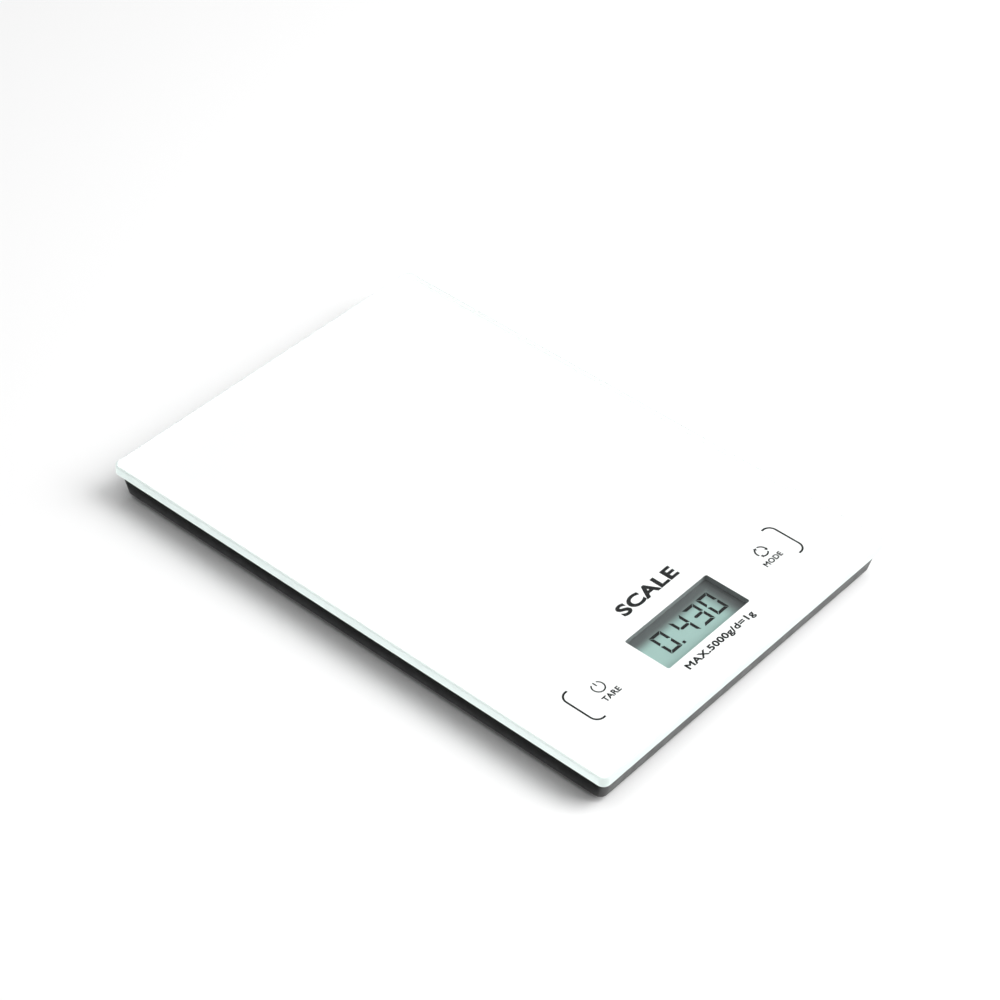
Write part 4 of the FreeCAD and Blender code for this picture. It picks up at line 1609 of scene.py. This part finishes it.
@dataclass
class Studio:
    """The floor, the lamps, the surroundings and the camera."""

    lens: float = 103.82
    sensor: float = 36.0
    nearest: float = 0.01
    distance: float = 1.03616
    azimuth: float = -51.471
    elevation: float = 41.551
    roll: float = 3.12
    aim: Point = (0.00096, -0.00057, 0.01645)
    surround_strength: float = 0.26
    floor_grey: float = 0.88
    floor_half: float = 3.0
    open_under: Span = (0.0765, 0.1115)
    # The reflection-only black sheet that paints shade into the housing's left side, and where it lies
    card_black: float = 0.01
    card_x: Span = (-0.28, -0.079)
    card_y: Span = (-0.16, 0.16)
    card_height: float = 0.0003

    def build(self) -> None:
        """Set the whole studio up."""
        self.floor()
        self.surroundings()
        for lamp in LAMPS:
            lamp.build()
        self.dark_card()
        self.camera()

    @staticmethod
    def sheet(name: str, along_x: Span, along_y: Span, z: float, shader: Shader) -> bpy.types.Object:
        """A flat level sheet.

        Args:
            name: the object's name.
            along_x: where it starts and ends along X.
            along_y: where it starts and ends along Y.
            z: its height.
            shader: its material.

        Returns:
            The sheet.
        """
        (x0, x1), (y0, y1) = along_x, along_y
        data = bpy.data.meshes.new(name)
        data.from_pydata([(x0, y0, z), (x1, y0, z), (x1, y1, z), (x0, y1, z)], [], [(0, 1, 2, 3)])
        data.materials.append(shader.material)
        return new_object(name, data)

    @staticmethod
    def matte(name: str, grey: float, shine: float) -> Shader:
        """A rough plain finish for something that isn't part of the scale."""
        shader = Shader(name)
        shader.set(Base_Color=(grey, grey, grey, 1.0), Roughness=0.9, Specular_IOR_Level=shine)
        return shader

    def floor(self) -> None:
        """A plain pale floor, seen from above only, that lets light reach the underside of the scale."""
        shader = self.matte("studio_floor", self.floor_grey, 0.1)
        below = shader.node("NewGeometry").outputs["Backfacing"]
        shader.veil(shader.math("MAXIMUM", below, self.under_scale(shader)))
        reach = (-self.floor_half, self.floor_half)
        self.sheet("studio_floor", reach, reach, 0.0, shader)

    def under_scale(self, shader: Shader) -> bpy.types.NodeSocket:
        """The part of the floor that the scale hides, which only the camera finds solid.

        Args:
            shader: the floor's shader.

        Returns:
            A socket that is 1 where light passes and 0 elsewhere.
        """
        place_on_floor = shader.node("SeparateXYZ")
        shader.link(shader.where(), place_on_floor.inputs[0])
        passes = shader.math("SUBTRACT", 1.0, shader.ray("Camera"))
        for axis, reach in zip("XY", self.open_under):
            aside = shader.math("ABSOLUTE", place_on_floor.outputs[axis])
            passes = shader.math("MULTIPLY", passes, shader.math("LESS_THAN", aside, reach))
        return passes

    def dark_card(self) -> None:
        """A black sheet beside the scale's long side, which only shows in reflections: a painted reflection
        of shade that darkens the housing's left side.
        """
        shader = self.matte("card_black", self.card_black, 0.0)
        card = self.sheet("dark_card", self.card_x, self.card_y, self.card_height, shader)
        card.visible_camera = False
        card.visible_diffuse = False
        card.visible_shadow = False
        card.visible_transmission = False

    def surroundings(self) -> None:
        """An even pale surround."""
        world = bpy.data.worlds.new("studio")
        world.use_nodes = True
        background = world.node_tree.nodes["Background"]
        background.inputs["Color"].default_value = (1.0, 1.0, 1.0, 1.0)
        background.inputs["Strength"].default_value = self.surround_strength
        bpy.context.scene.world = world
        bpy.context.scene.view_settings.view_transform = "Standard"

    def camera(self) -> None:
        """Aim the camera."""
        data = bpy.data.cameras.new("camera")
        data.lens = self.lens
        data.sensor_width = self.sensor
        data.clip_start = self.nearest
        camera = new_object("camera", data)
        away = heading(self.azimuth, self.elevation)
        right = Vector((0, 0, 1)).cross(away).normalized()
        up = away.cross(right)
        turn = math.radians(self.roll)
        tilted_right = right * math.cos(turn) + up * math.sin(turn)
        tilted_up = up * math.cos(turn) - right * math.sin(turn)
        axes = Matrix((tilted_right, tilted_up, away)).transposed().to_4x4()
        camera.matrix_world = Matrix.Translation(Vector(self.aim) + away * self.distance) @ axes
        bpy.context.scene.camera = camera


def main() -> None:
    """Build the scale in order, and its studio."""
    logging.basicConfig(level=logging.INFO, format="%(name)s: %(message)s")
    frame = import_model()
    copies = copies_recipe()
    coil = coil_recipe()
    Studio().build()
    platform = Platform()
    platform.build()
    Legends(platform.ink_top, platform.low.y).build()
    Display(frame, copies).build()
    Housing(frame, copies).build()
    Feet().build()
    BatteryBay(frame).build()
    Works(frame, coil).build()


if __name__ == "__main__":
    main()
